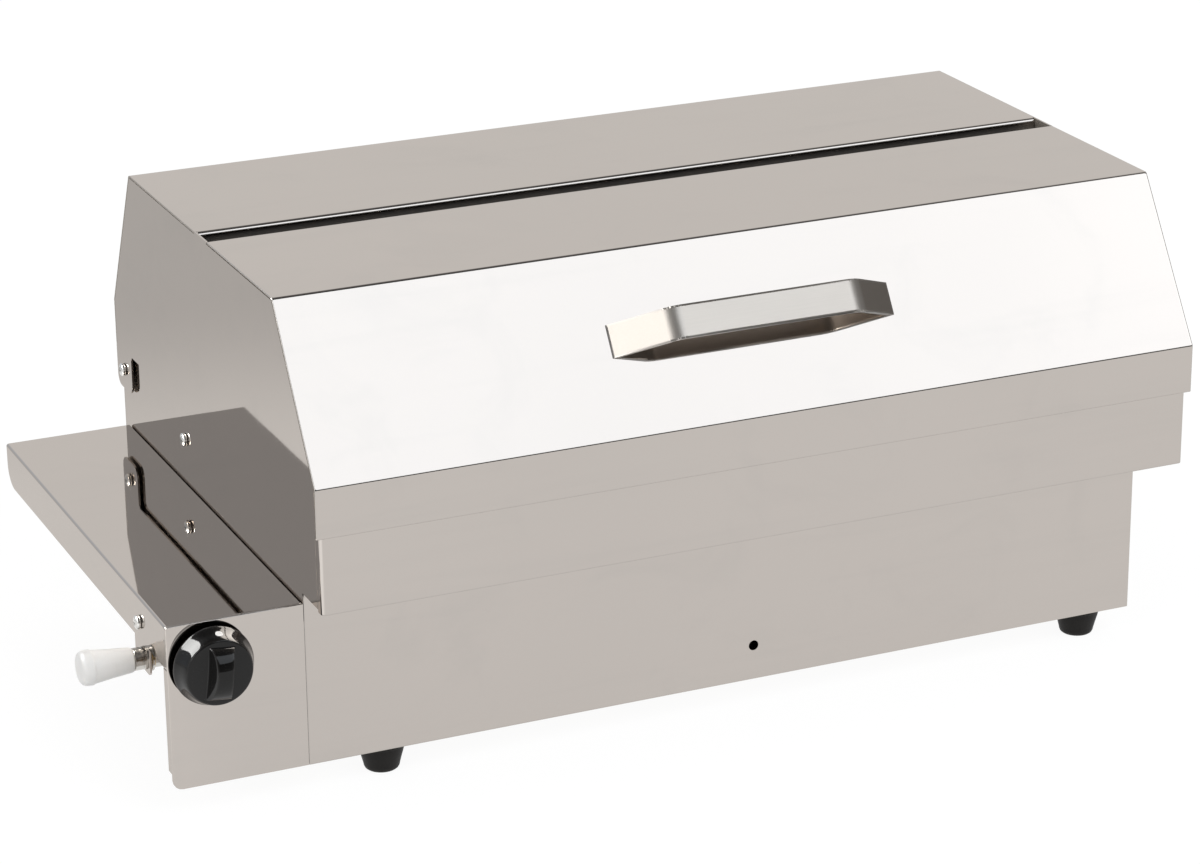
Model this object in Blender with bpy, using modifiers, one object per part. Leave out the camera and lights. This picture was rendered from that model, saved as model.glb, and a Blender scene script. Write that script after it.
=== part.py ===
"""Table-top gas grill with a hinged hood, a side shelf and one burner.

Lengths are in metres. The working frame has X to the right with zero at the hood's middle,
Y towards the back with zero at the hood's front skirt, and Z up with zero at the table.
An empty, grill_datum, shifts the whole grill so that the origin ends up at the bottom
centre of its box.
"""
import math

import bmesh
import bpy
from mathutils import Matrix, Vector

# Sheet metal and clearances
SHEET = 0.0012
GAP = 0.0003
BEND = 0.0026
OVERRUN = 0.004
MERGE = 0.000001

# Hood, seen from the side
HOOD_WIDTH = 0.570
HOOD_DEPTH = 0.372
SKIRT_HEIGHT = 0.0299
SLANT_RISE = 0.0943
SLANT_RUN = 0.061
REAR_SLANT_RUN = 0.046
VENT_FRONT = 0.1752
VENT_LENGTH = 0.0200
VENT_FLANGE = 0.014
HOOD_SIDE_CLEARANCE = 0.0013

# Heights, each counted from the one below
FOOT_HEIGHT = 0.018
BOX_HEIGHT = 0.1012
BAND_STEP = 0.0041
BAND_SHOWN = 0.0472
BODY_RIM_LAP = 0.0195

# Hinge
PIVOT_INSET = 0.014
PIVOT_DROP = 0.0135
EAR_DROP = 0.0265
EAR_DEPTH = 0.030
EAR_CORNER = 0.007
EAR_RELIEF = 0.0025

# Body in plan
BAND_SETBACK = 0.0022
BAND_RETURN = 0.0068
BAND_HOOD_LAP = 0.0135
LEDGE_SIDE_GAP = 0.0013
REST_TAB_DEPTH = 0.008
BOX_FRONT_SETBACK = 0.0334
BOX_RIGHT_SETBACK = 0.018
BODY_REAR_SETBACK = 0.003

# Handle, a bent flat bar
HANDLE_LENGTH = 0.183
HANDLE_STRAIGHT = 0.118
HANDLE_RISE = 0.0255
HANDLE_BAR_WIDTH = 0.020
HANDLE_BAR_THICKNESS = 0.003
HANDLE_BEND = 0.018
HANDLE_UP_SLANT = 0.058

# Side shelf and control panel
SHELF_WIDTH = 0.080
SHELF_FLANGE = 0.0268
SHELF_WALL_FLANGE = 0.012
SHELF_CORNER = 0.014
SHELF_BEND = 0.0016
SHELF_REAR_SETBACK = 0.014
PANEL_CORNER = 0.006
PANEL_RETURN = 0.007
PANEL_RETURN_RISE = 0.010

# Knob, tap and injector
KNOB_FROM_WALL = 0.054
KNOB_BELOW_SHELF = 0.0259
KNOB_BASE_RADIUS = 0.024
KNOB_FACE_RADIUS = 0.0195
KNOB_HEIGHT = 0.0138
KNOB_EDGE = 0.0016
KNOB_STAND_OFF = 0.0038
KNOB_TRAVEL = 0.003
KNOB_CAVITY_RADIUS = 0.0165
KNOB_CAVITY_DEPTH = 0.0072
KNOB_SOCKET_DEPTH = 0.0050
GRIP_WIDTH = 0.0104
GRIP_FOOT_WIDTH = 0.0160
GRIP_RISE = 0.0088
GRIP_SINK = 0.0010
GRIP_END_INSET = 0.0006
SPINDLE_RADIUS = 0.0030
BONNET_RADIUS = 0.0080
BONNET_LENGTH = 0.032
LOCK_NUT_ACROSS = 0.021
LOCK_NUT_THICKNESS = 0.0022
TAP_BLOCK_WIDTH = 0.020
TAP_BLOCK_DEPTH = 0.040
TAP_BLOCK_RISE = 0.011
TAP_BLOCK_DROP = 0.022
OUTLET_FROM_TAP_REAR = 0.011
JET_HOLDER_RADIUS = 0.0065
JET_HEX_ACROSS = 0.015
JET_HEX_LENGTH = 0.008
JET_TIP_RADIUS = 0.0035
JET_TIP_LENGTH = 0.009
JET_NOSE_SHARE = 0.6

# Gas inlet on the shelf's flange
INLET_BACK = 0.081
INLET_DROP = 0.0372
INLET_RADIUS = 0.0067
INLET_REACH = 0.0061
INLET_NOSE_RADIUS = 0.0050
INLET_NOSE_LENGTH = 0.012
INLET_COLLAR_RADIUS = 0.0085
INLET_COLLAR_LENGTH = 0.003
BRACKET_FRONT = 0.0720
BRACKET_REAR = 0.0990
BRACKET_BELOW_INLET = 0.0085
BRACKET_ABOVE_INLET = 0.0300
BRACKET_CORNER = 0.003
BRACKET_SCREW_BACK = 0.0835
BRACKET_SCREW_ABOVE = 0.0215
CAP_SMALL_RADIUS = 0.0072
CAP_LARGE_RADIUS = 0.0106
CAP_LENGTH = 0.0327
CAP_ROUND = 0.0034
CAP_SOCKET_DEPTH = 0.014

# Burner
BURNER_TUBE_RADIUS = 0.0110
BURNER_WALL = 0.0012
BURNER_MOUTH_OUT = 0.0064
BURNER_PORT_WIDTH = 0.0022
BURNER_PORT_LENGTH = 0.012
BURNER_PORT_PITCH = 0.035
BURNER_PORT_COUNT = 12
BURNER_PITCH = 0.190
BURNER_RIGHT_GAP = 0.034
BURNER_REAR_LEG_LEFT = 0.045
BURNER_WALL_HOLE_CLEARANCE = 0.0012
BURNER_BRACKET_WIDTH = 0.026

# Heat plate over the burner
HEAT_PLATE_FLANGE = 0.016
HEAT_PLATE_RISE = 0.013
HEAT_PLATE_SLOPE = 0.022
HEAT_PLATE_SIDE_GAP = 0.018
HEAT_PLATE_EDGE_GAP = 0.006
HEAT_SLOT_LENGTH = 0.036
HEAT_SLOT_WIDTH = 0.007
HEAT_SLOT_PITCH = 0.062
HEAT_SLOT_COUNT = 8
REAR_LEDGE_DEPTH = 0.026
REAR_LEDGE_HEIGHT = 0.014

# Cooking grate and its rails
RAIL_SCREW_DROP = 0.0225
RAIL_SCREW_BACK = 0.243
RAIL_ABOVE_SCREW = 0.0095
RAIL_BELOW_SCREW = 0.0085
RAIL_LEDGE = 0.016
RAIL_FRONT_INSET = 0.026
RAIL_REAR_INSET = 0.026
GRATE_FRAME_RADIUS = 0.0035
GRATE_ROD_RADIUS = 0.0024
GRATE_PITCH = 0.0165
GRATE_SIDE_GAP = 0.0028
GRATE_FRONT_GAP = 0.011
GRATE_REAR_GAP = 0.019
GRATE_WELD_SINK = 0.0012
GRATE_OVERHANG = 0.0015
GRATE_CORNER = 0.012

# Drip tray
TRAY_SHEET = 0.0010
TRAY_HEIGHT = 0.022
TRAY_FRONT_INSET = 0.028
TRAY_REAR_INSET = 0.026
TRAY_LEFT_INSET = 0.014
TRAY_OPENING_CLEARANCE = 0.0015
TRAY_FACE_LAP = 0.006
TRAY_LIP = 0.014
TRAY_GUIDE_HEIGHT = 0.012
TRAY_GUIDE_CLEARANCE = 0.0008

# Feet
FOOT_TOP_RADIUS = 0.0145
FOOT_BASE_RADIUS = 0.0100
FOOT_ROUND = 0.0016
FOOT_FROM_LEFT = 0.0530
FOOT_FROM_RIGHT = 0.0270
FOOT_FROM_FRONT = 0.0165
FOOT_FROM_REAR = 0.0180

# Screws, nuts and spacers
SCREW_RADIUS = 0.0020
SCREW_HOLE_CLEARANCE = 0.0003
SCREW_HEAD_RADIUS = 0.0042
SCREW_HEAD_HEIGHT = 0.0028
SCREW_HEAD_RIM = 0.0009
SCREW_THREAD_PAST = 0.0030
NUT_ACROSS = 0.0072
NUT_THICKNESS = 0.0032
SPACER_RADIUS = 0.0048
FOOT_SCREW_REACH = 0.0110

# Openings in the lower box
FRONT_HOLE_RADIUS = 0.0032
FRONT_HOLE_RISE = 0.0221
FRONT_HOLE_OFFSET = 0.0035
REAR_VENT_LENGTH = 0.034
REAR_VENT_WIDTH = 0.006
REAR_VENT_PITCH = 0.050
REAR_VENT_COUNT = 8
REAR_VENT_BELOW_BAND = 0.020
REAR_VENT_ROUND_SHARE = 0.49

# Facets
ARC_STEPS = 4
ROUND_SIDES = 24
SCREW_SIDES = 14
TUBE_RESOLUTION = 3
ROD_SIDES = 8

# Levels and planes worked out from the sizes above
HALF_WIDTH = HOOD_WIDTH / 2
BOX_BOTTOM = FOOT_HEIGHT
SHELF_TOP = BOX_BOTTOM + BOX_HEIGHT
BAND_BOTTOM = SHELF_TOP + BAND_STEP
HOOD_LOWER = BAND_BOTTOM + BAND_SHOWN
HOOD_BEND_LEVEL = HOOD_LOWER + SKIRT_HEIGHT
HOOD_TOP = HOOD_BEND_LEVEL + SLANT_RISE
RIM_TOP = HOOD_LOWER + BODY_RIM_LAP
VENT_REAR = VENT_FRONT + VENT_LENGTH
SLANT_ANGLE = math.atan2(SLANT_RISE, SLANT_RUN)
PIVOT = Vector((0, HOOD_DEPTH - PIVOT_INSET, HOOD_LOWER - PIVOT_DROP))
WALL_OUT = HALF_WIDTH - SHEET - HOOD_SIDE_CLEARANCE
WALL_IN = WALL_OUT - SHEET
BAND_INNER = BAND_SETBACK + SHEET
WALL_FRONT = BAND_SETBACK + BAND_RETURN + GAP
BODY_REAR = HOOD_DEPTH - BODY_REAR_SETBACK
BODY_REAR_IN = BODY_REAR - SHEET
BOX_FRONT = BOX_FRONT_SETBACK
BOX_FRONT_IN = BOX_FRONT + SHEET
BOX_RIGHT = HALF_WIDTH - BOX_RIGHT_SETBACK
BOX_RIGHT_IN = BOX_RIGHT - SHEET
BASE_TOP = BOX_BOTTOM + SHEET
LEDGE_UNDER = BAND_BOTTOM + GAP
LEDGE_TOP = LEDGE_UNDER + SHEET
SHELF_OUT = HALF_WIDTH + SHELF_WIDTH
SHELF_IN = WALL_OUT + GAP
KNOB_X = -(HALF_WIDTH + KNOB_FROM_WALL)
KNOB_Z = SHELF_TOP - KNOB_BELOW_SHELF
KNOB_BASE_Y = BOX_FRONT - KNOB_STAND_OFF
INLET_Z = SHELF_TOP - INLET_DROP
BRACKET_OUT = SHELF_OUT - SHEET - GAP
TAP_BLOCK_FRONT = BOX_FRONT_IN + BONNET_LENGTH
TAP_BLOCK_REAR = TAP_BLOCK_FRONT + TAP_BLOCK_DEPTH
BURNER_Y = TAP_BLOCK_REAR - OUTLET_FROM_TAP_REAR
BURNER_Z = KNOB_Z
SCREW_HOLE = SCREW_RADIUS + SCREW_HOLE_CLEARANCE
RAIL_SCREW_Z = HOOD_LOWER - RAIL_SCREW_DROP
RAIL_TOP = RAIL_SCREW_Z + RAIL_ABOVE_SCREW
CAP_TIP = SHELF_OUT + INLET_REACH + GAP + CAP_LENGTH
RIGHT_REACH = HALF_WIDTH + GAP + SCREW_HEAD_HEIGHT
DATUM = Vector(((CAP_TIP - RIGHT_REACH) / 2, -HOOD_DEPTH / 2, 0))

# Which way the flat outlines and the turned axes face
AXES = {
    "+X": Matrix(((0, 0, 1), (1, 0, 0), (0, 1, 0))),
    "-X": Matrix(((0, 0, -1), (-1, 0, 0), (0, 1, 0))),
    "+Y": Matrix(((-1, 0, 0), (0, 0, 1), (0, 1, 0))),
    "-Y": Matrix(((1, 0, 0), (0, 0, -1), (0, 1, 0))),
    "+Z": Matrix(((1, 0, 0), (0, 1, 0), (0, 0, 1))),
    "-Z": Matrix(((1, 0, 0), (0, -1, 0), (0, 0, -1))),
}


def start_empty():
    """Remove what the file holds and make the two collections and the datum."""
    for thing in list(bpy.data.objects):
        bpy.data.objects.remove(thing)
    parts = bpy.data.collections.new("gas_grill")
    cutters = bpy.data.collections.new("cutters")
    for group in (parts, cutters):
        bpy.context.scene.collection.children.link(group)
    datum = bpy.data.objects.new("grill_datum", None)
    datum.location = DATUM
    parts.objects.link(datum)
    return parts, cutters, datum


PARTS, CUTTERS, GRILL_DATUM = start_empty()


def material(name, colour, roughness, metallic):
    """A plain Principled material in the part's own colour."""
    made = bpy.data.materials.new(name)
    made.use_nodes = True
    shader = made.node_tree.nodes["Principled BSDF"]
    shader.inputs["Base Color"].default_value = (*colour, 1)
    shader.inputs["Roughness"].default_value = roughness
    shader.inputs["Metallic"].default_value = metallic
    return made


def joint_empty(name, place):
    """An empty on a joint's axis, which carries that joint's pieces."""
    empty = bpy.data.objects.new(name, None)
    empty.location = place
    empty.parent = GRILL_DATUM
    PARTS.objects.link(empty)
    return empty


def finish(thing, finish_material, carrier=None):
    """Give a piece its material and parent it, with its place kept."""
    thing.data.materials.clear()
    thing.data.materials.append(finish_material)
    thing.data.shade_smooth()
    thing.data.set_sharp_from_angle(angle=math.radians(40))
    if thing.name not in PARTS.objects:
        PARTS.objects.link(thing)
    thing.parent = carrier or GRILL_DATUM
    if carrier:
        thing.location = thing.location - carrier.location
    return thing


def object_from(name, mesh_builder):
    """An object from a bmesh, whose doubles are merged first."""
    bmesh.ops.remove_doubles(mesh_builder, verts=mesh_builder.verts, dist=MERGE)
    mesh = bpy.data.meshes.new(name)
    mesh_builder.to_mesh(mesh)
    mesh_builder.free()
    return bpy.data.objects.new(name, mesh)


def modifier_applied(thing):
    """The object's evaluated mesh in its place, on a plain object of the same name."""
    name = thing.name
    home = thing.users_collection
    if not home:
        PARTS.objects.link(thing)
    bpy.context.view_layer.update()
    graph = bpy.context.evaluated_depsgraph_get()
    mesh = bpy.data.meshes.new_from_object(thing.evaluated_get(graph))
    mesh.transform(thing.matrix_world)
    builder = bmesh.new()
    builder.from_mesh(mesh)
    bmesh.ops.remove_doubles(builder, verts=builder.verts, dist=MERGE)
    bmesh.ops.recalc_face_normals(builder, faces=builder.faces)
    builder.to_mesh(mesh)
    builder.free()
    bpy.data.objects.remove(thing)
    return bpy.data.objects.new(name, mesh)


def filleted(points, radius, closed=False, steps=ARC_STEPS):
    """Round a polyline's corners with arcs; radius is one size or one per point."""
    flat = [Vector(p) for p in points]
    count = len(flat)
    radii = radius if isinstance(radius, (list, tuple)) else [radius] * count
    rounded = []
    for index, corner in enumerate(flat):
        size = radii[index]
        if size <= 0 or (not closed and index in (0, count - 1)):
            rounded.append(corner)
            continue
        before = (flat[index - 1] - corner).normalized()
        after = (flat[(index + 1) % count] - corner).normalized()
        half = before.angle(after) / 2
        reach = size / math.tan(half)
        middle = corner + (before + after).normalized() * (size / math.sin(half))
        first = corner + before * reach - middle
        sweep = math.pi - 2 * half
        turn = 1 if before.x * after.y - before.y * after.x < 0 else -1
        for step in range(steps + 1):
            spin = Matrix.Rotation(turn * sweep * step / steps, 2)
            rounded.append(middle + spin @ first)
    return rounded


def bent_sheet(name, profile, low, high, along, thickness=SHEET, side=-1):
    """A folded sheet: an open profile drawn out along an axis, then given its thickness."""
    spread = {
        "X": lambda a, b, t: (t, a, b),
        "Y": lambda a, b, t: (a, t, b),
        "Z": lambda a, b, t: (a, b, t),
    }[along]
    builder = bmesh.new()
    rows = [[builder.verts.new(spread(p[0], p[1], t)) for p in profile] for t in (low, high)]
    for index in range(len(profile) - 1):
        near, far = rows
        builder.faces.new((near[index], near[index + 1], far[index + 1], far[index]))
    thing = object_from(name, builder)
    solid = thing.modifiers.new("wall", "SOLIDIFY")
    solid.thickness = thickness
    solid.offset = side
    solid.use_even_offset = True
    return modifier_applied(thing)


def circle_points(centre, radius, sides=ROUND_SIDES):
    """The points of a round hole or disc in an outline."""
    turn = 2 * math.pi / sides
    return [
        Vector((centre[0] + radius * math.cos(turn * k), centre[1] + radius * math.sin(turn * k)))
        for k in range(sides)
    ]


def box_points(low, high):
    """The four corners of an upright rectangle in an outline."""
    return [
        Vector((low[0], low[1])),
        Vector((high[0], low[1])),
        Vector((high[0], high[1])),
        Vector((low[0], high[1])),
    ]


def plate(name, loops, middle, thickness, facing):
    """A flat plate from an outline and its holes; facing is the way its normal points."""
    curve = bpy.data.curves.new(name, "CURVE")
    curve.dimensions = "2D"
    curve.fill_mode = "BOTH"
    curve.extrude = thickness / 2
    for loop in loops:
        spline = curve.splines.new("POLY")
        spline.points.add(len(loop) - 1)
        for point, place in zip(spline.points, loop):
            point.co = (place[0], place[1], 0, 1)
        spline.use_cyclic_u = True
    thing = bpy.data.objects.new(name, curve)
    turned_matrix = AXES[facing].to_4x4()
    thing.matrix_world = Matrix.Translation(middle) @ turned_matrix
    return modifier_applied(thing)


def upright_plate(name, loops, x_middle, thickness):
    """A plate in the Y-Z plane, drawn with (y, z) points."""
    return plate(name, loops, Vector((x_middle, 0, 0)), thickness, "+X")


def facing_plate(name, loops, y_middle, thickness):
    """A plate in the X-Z plane, drawn with (x, z) points."""
    return plate(name, loops, Vector((0, y_middle, 0)), thickness, "-Y")


def level_plate(name, loops, z_middle, thickness):
    """A plate in the X-Y plane, drawn with (x, y) points."""
    return plate(name, loops, Vector((0, 0, z_middle)), thickness, "+Z")


def turned(name, profile, place, facing, sides=ROUND_SIDES):
    """A turned piece: (radius, height) points from the top down its outer side."""
    builder = bmesh.new()
    points = [builder.verts.new((radius, 0, height)) for radius, height in profile]
    for first, second in zip(points, points[1:]):
        builder.edges.new((first, second))
    mesh = bpy.data.meshes.new(name)
    builder.to_mesh(mesh)
    builder.free()
    thing = bpy.data.objects.new(name, mesh)
    screw = thing.modifiers.new("turn", "SCREW")
    screw.axis = "Z"
    screw.steps = sides
    screw.render_steps = sides
    screw.use_merge_vertices = True
    screw.merge_threshold = MERGE
    thing.matrix_world = Matrix.Translation(place) @ AXES[facing].to_4x4()
    return modifier_applied(thing)


def rod(name, start, end, radius, sides=ROD_SIDES):
    """A straight round bar between two points."""
    builder = bmesh.new()
    start = Vector(start)
    end = Vector(end)
    lie = (end - start).to_track_quat("Z", "Y").to_matrix().to_4x4()
    bmesh.ops.create_cone(
        builder,
        cap_ends=True,
        segments=sides,
        radius1=radius,
        radius2=radius,
        depth=(end - start).length,
        matrix=Matrix.Translation((start + end) / 2) @ lie,
    )
    return object_from(name, builder)


def block(name, low, high):
    """A box between two corners."""
    builder = bmesh.new()
    low = Vector(low)
    high = Vector(high)
    size = Matrix.Diagonal((*(high - low), 1))
    bmesh.ops.create_cube(builder, size=1, matrix=Matrix.Translation((low + high) / 2) @ size)
    return object_from(name, builder)


def gathered(name, things):
    """Several shapes that don't touch each other as one shape for a Boolean."""
    builder = bmesh.new()
    for thing in things:
        builder.from_mesh(thing.data)
        bpy.data.objects.remove(thing)
    mesh = bpy.data.meshes.new(name)
    builder.to_mesh(mesh)
    builder.free()
    return bpy.data.objects.new(name, mesh)


def combine(thing, others, operation):
    """Cut or join other shapes with a piece, one after another."""
    for other in others:
        CUTTERS.objects.link(other)
        other.display_type = "WIRE"
        other.hide_render = True
    name = thing.name
    PARTS.objects.link(thing)
    for other in others:
        change = thing.modifiers.new(operation.lower(), "BOOLEAN")
        change.operation = operation
        change.solver = "EXACT"
        change.object = other
    bpy.context.view_layer.update()
    done = modifier_applied(thing)
    done.name = name
    for other in others:
        other.parent = GRILL_DATUM
    return done


def tube(name, points, radius, ring=False):
    """A round tube along a list of points, with closed ends or joined to a ring."""
    curve = bpy.data.curves.new(name, "CURVE")
    curve.dimensions = "3D"
    curve.bevel_depth = radius
    curve.bevel_resolution = TUBE_RESOLUTION
    curve.use_fill_caps = True
    spline = curve.splines.new("POLY")
    spline.points.add(len(points) - 1)
    for point, place in zip(spline.points, points):
        point.co = (*place, 1)
    spline.use_cyclic_u = ring
    return modifier_applied(bpy.data.objects.new(name, curve))


def hex_points(centre, across):
    """A hexagon of the given width across its flats."""
    return circle_points(centre, across / 2 / math.cos(math.pi / 6), 6)


def pan_screw(name, face, out, grip, carrier=None):
    """A pan-head screw whose head sits a gap off a face and whose shank spans the grip."""
    shank = grip + SCREW_THREAD_PAST
    rim = SCREW_HEAD_RIM
    arc = [
        (
            SCREW_HEAD_RADIUS * math.sin(math.pi / 2 * k / ARC_STEPS),
            rim + (SCREW_HEAD_HEIGHT - rim) * math.cos(math.pi / 2 * k / ARC_STEPS),
        )
        for k in range(ARC_STEPS + 1)
    ]
    profile = arc + [
        (SCREW_HEAD_RADIUS, 0),
        (SCREW_RADIUS, 0),
        (SCREW_RADIUS, -shank),
        (0, -shank),
    ]
    place = Vector(face) + AXES[out] @ Vector((0, 0, GAP))
    return finish(turned(name, profile, place, out, SCREW_SIDES), STEEL_FASTENER, carrier)


def nut(name, face, out):
    """A hexagon nut a gap off a face, with its hole clear of the screw."""
    loops = [hex_points((0, 0), NUT_ACROSS), circle_points((0, 0), SCREW_HOLE, SCREW_SIDES)]
    place = Vector(face) + AXES[out] @ Vector((0, 0, GAP + NUT_THICKNESS / 2))
    return finish(plate(name, loops, place, NUT_THICKNESS, out), STEEL_FASTENER)


STEEL_POLISHED = material("polished_steel", (0.62, 0.60, 0.57), 0.12, 1)
STEEL_BRUSHED = material("brushed_steel", (0.66, 0.65, 0.63), 0.34, 1)
STEEL_INNER = material("inner_steel", (0.45, 0.44, 0.42), 0.38, 1)
STEEL_FASTENER = material("fastener_steel", (0.70, 0.69, 0.67), 0.22, 1)
STEEL_ROD = material("rod_steel", (0.60, 0.60, 0.60), 0.26, 1)
BRASS = material("brass", (0.72, 0.52, 0.22), 0.30, 1)
BLACK_KNOB = material("knob_black", (0.012, 0.012, 0.013), 0.12, 0)
BLACK_RUBBER = material("foot_rubber", (0.020, 0.020, 0.020), 0.70, 0)
WHITE_PLASTIC = material("cap_white", (0.80, 0.79, 0.77), 0.42, 0)

HOOD_PIVOT = joint_empty("hood_pivot", PIVOT)
GRATE_CARRIER = joint_empty("grate_lift_axis", Vector((0, HOOD_DEPTH / 2, RAIL_TOP)))
HEAT_CARRIER = joint_empty("heat_plate_lift_axis", Vector((0, HOOD_DEPTH / 2, LEDGE_TOP)))
TRAY_CARRIER = joint_empty("drip_tray_slide_axis", Vector((BOX_RIGHT, HOOD_DEPTH / 2, BASE_TOP)))
KNOB_CARRIER = joint_empty("knob_axis", Vector((KNOB_X, KNOB_BASE_Y, KNOB_Z)))
CAP_CARRIER = joint_empty("cap_axis", Vector((-SHELF_OUT, INLET_BACK, INLET_Z)))


def make_hood_wraps():
    """The two folded sheets of the hood, with the vent slot left open between them."""
    front = filleted(
        [
            (0, HOOD_LOWER),
            (0, HOOD_BEND_LEVEL),
            (SLANT_RUN, HOOD_TOP),
            (VENT_FRONT, HOOD_TOP),
        ],
        BEND,
    )
    finish(
        bent_sheet("hood_front_wrap", front, -HALF_WIDTH, HALF_WIDTH, "X", side=1),
        STEEL_POLISHED,
        HOOD_PIVOT,
    )
    rear = filleted(
        [
            (VENT_REAR, HOOD_TOP - VENT_FLANGE),
            (VENT_REAR, HOOD_TOP),
            (HOOD_DEPTH - REAR_SLANT_RUN, HOOD_TOP),
            (HOOD_DEPTH, HOOD_BEND_LEVEL),
            (HOOD_DEPTH, HOOD_LOWER),
        ],
        BEND,
    )
    wrap = bent_sheet("hood_rear_wrap", rear, -HALF_WIDTH, HALF_WIDTH, "X", side=1)
    inside = HALF_WIDTH - SHEET - GAP
    notches = []
    for low, high in ((-HALF_WIDTH - OVERRUN, -inside), (inside, HALF_WIDTH + OVERRUN)):
        notches.append(
            block(
                "vent_notch_shape",
                (low, VENT_REAR - OVERRUN, HOOD_TOP - VENT_FLANGE - OVERRUN),
                (high, VENT_REAR + BEND + GAP, HOOD_TOP + OVERRUN),
            )
        )
    notches = gathered("vent_notches_cutter", notches)
    finish(combine(wrap, [notches], "DIFFERENCE"), STEEL_POLISHED, HOOD_PIVOT)


def hood_side_outline():
    """The side panel under the wraps' edges, with its ear hanging at the rear."""
    inset = SHEET + GAP
    lean = inset * math.tan((math.pi / 2 - SLANT_ANGLE) / 2)
    top_lean = inset * math.tan(SLANT_ANGLE / 2)
    rear_angle = math.atan2(SLANT_RISE, REAR_SLANT_RUN)
    rear_lean = inset * math.tan((math.pi / 2 - rear_angle) / 2)
    rear_top_lean = inset * math.tan(rear_angle / 2)
    ear_front = HOOD_DEPTH - EAR_DEPTH
    ear_bottom = HOOD_LOWER - EAR_DROP
    rear_skirt = HOOD_DEPTH - inset
    under_top = HOOD_TOP - inset
    vent_front = VENT_FRONT + GAP
    vent_rear = VENT_REAR + BEND
    points = [
        (inset, HOOD_LOWER),
        (ear_front - EAR_RELIEF, HOOD_LOWER),
        (ear_front, HOOD_LOWER - EAR_RELIEF),
        (ear_front, ear_bottom),
        (HOOD_DEPTH, ear_bottom),
        (HOOD_DEPTH, HOOD_LOWER - GAP),
        (rear_skirt, HOOD_LOWER - GAP),
        (rear_skirt, HOOD_BEND_LEVEL - rear_lean),
        (HOOD_DEPTH - REAR_SLANT_RUN - rear_top_lean, under_top),
        (vent_rear, under_top),
        (vent_rear, HOOD_TOP),
        (vent_front, HOOD_TOP),
        (vent_front, under_top),
        (SLANT_RUN + top_lean, under_top),
        (inset, HOOD_BEND_LEVEL - lean),
    ]
    corners = [0] * len(points)
    corners[3] = EAR_CORNER
    corners[4] = EAR_CORNER
    return filleted(points, corners, closed=True)


def make_hood_sides():
    """The left and right side panels with the ears that the hood turns on."""
    hole = circle_points((PIVOT.y, PIVOT.z), SCREW_HOLE, SCREW_SIDES)
    for side, sign in (("left", -1), ("right", 1)):
        middle = sign * (HALF_WIDTH - SHEET / 2)
        panel = upright_plate(f"hood_side_{side}", [hood_side_outline(), hole], middle, SHEET)
        finish(panel, STEEL_POLISHED, HOOD_PIVOT)


def make_handle():
    """The bent flat bar on the slanted front."""
    half = HANDLE_LENGTH / 2
    straight = HANDLE_STRAIGHT / 2
    profile = filleted(
        [
            (-half, GAP),
            (-straight, HANDLE_RISE),
            (straight, HANDLE_RISE),
            (half, GAP),
        ],
        HANDLE_BEND,
        steps=2 * ARC_STEPS,
    )
    bar = bent_sheet(
        "handle",
        profile,
        -HANDLE_BAR_WIDTH / 2,
        HANDLE_BAR_WIDTH / 2,
        "Z",
        HANDLE_BAR_THICKNESS,
        1,
    )
    reach = HANDLE_LENGTH + OVERRUN
    trim = block(
        "handle_end_trim",
        (-reach, -HANDLE_RISE, -HANDLE_BAR_WIDTH),
        (reach, GAP, HANDLE_BAR_WIDTH),
    )
    bar = combine(bar, [trim], "DIFFERENCE")
    normal = Vector((0, -math.sin(SLANT_ANGLE), math.cos(SLANT_ANGLE)))
    down = Vector((0, -math.cos(SLANT_ANGLE), -math.sin(SLANT_ANGLE)))
    seat = Vector((0, 0, HOOD_BEND_LEVEL)) - down * HANDLE_UP_SLANT
    turn = Matrix((Vector((1, 0, 0)), normal, down)).transposed().to_4x4()
    bar.data.transform(Matrix.Translation(seat) @ turn)
    finish(bar, STEEL_BRUSHED, HOOD_PIVOT)


def make_hinges():
    """The screw, spacer and nut of each hinge ear."""
    for side, sign, out, inward in (("left", -1, "-X", "+X"), ("right", 1, "+X", "-X")):
        face = Vector((sign * HALF_WIDTH, PIVOT.y, PIVOT.z))
        grip = HALF_WIDTH - WALL_IN + NUT_THICKNESS
        pan_screw(f"hinge_screw_{side}", face, out, grip)
        nut(f"hinge_nut_{side}", (sign * WALL_IN, PIVOT.y, PIVOT.z), inward)
        washer = HOOD_SIDE_CLEARANCE - 2 * GAP
        loops = [
            circle_points((0, 0), SPACER_RADIUS),
            circle_points((0, 0), SCREW_HOLE, SCREW_SIDES),
        ]
        middle = Vector((sign * (WALL_OUT + GAP + washer / 2), PIVOT.y, PIVOT.z))
        finish(plate(f"hinge_spacer_{side}", loops, middle, washer, "+X"), WHITE_PLASTIC)


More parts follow.
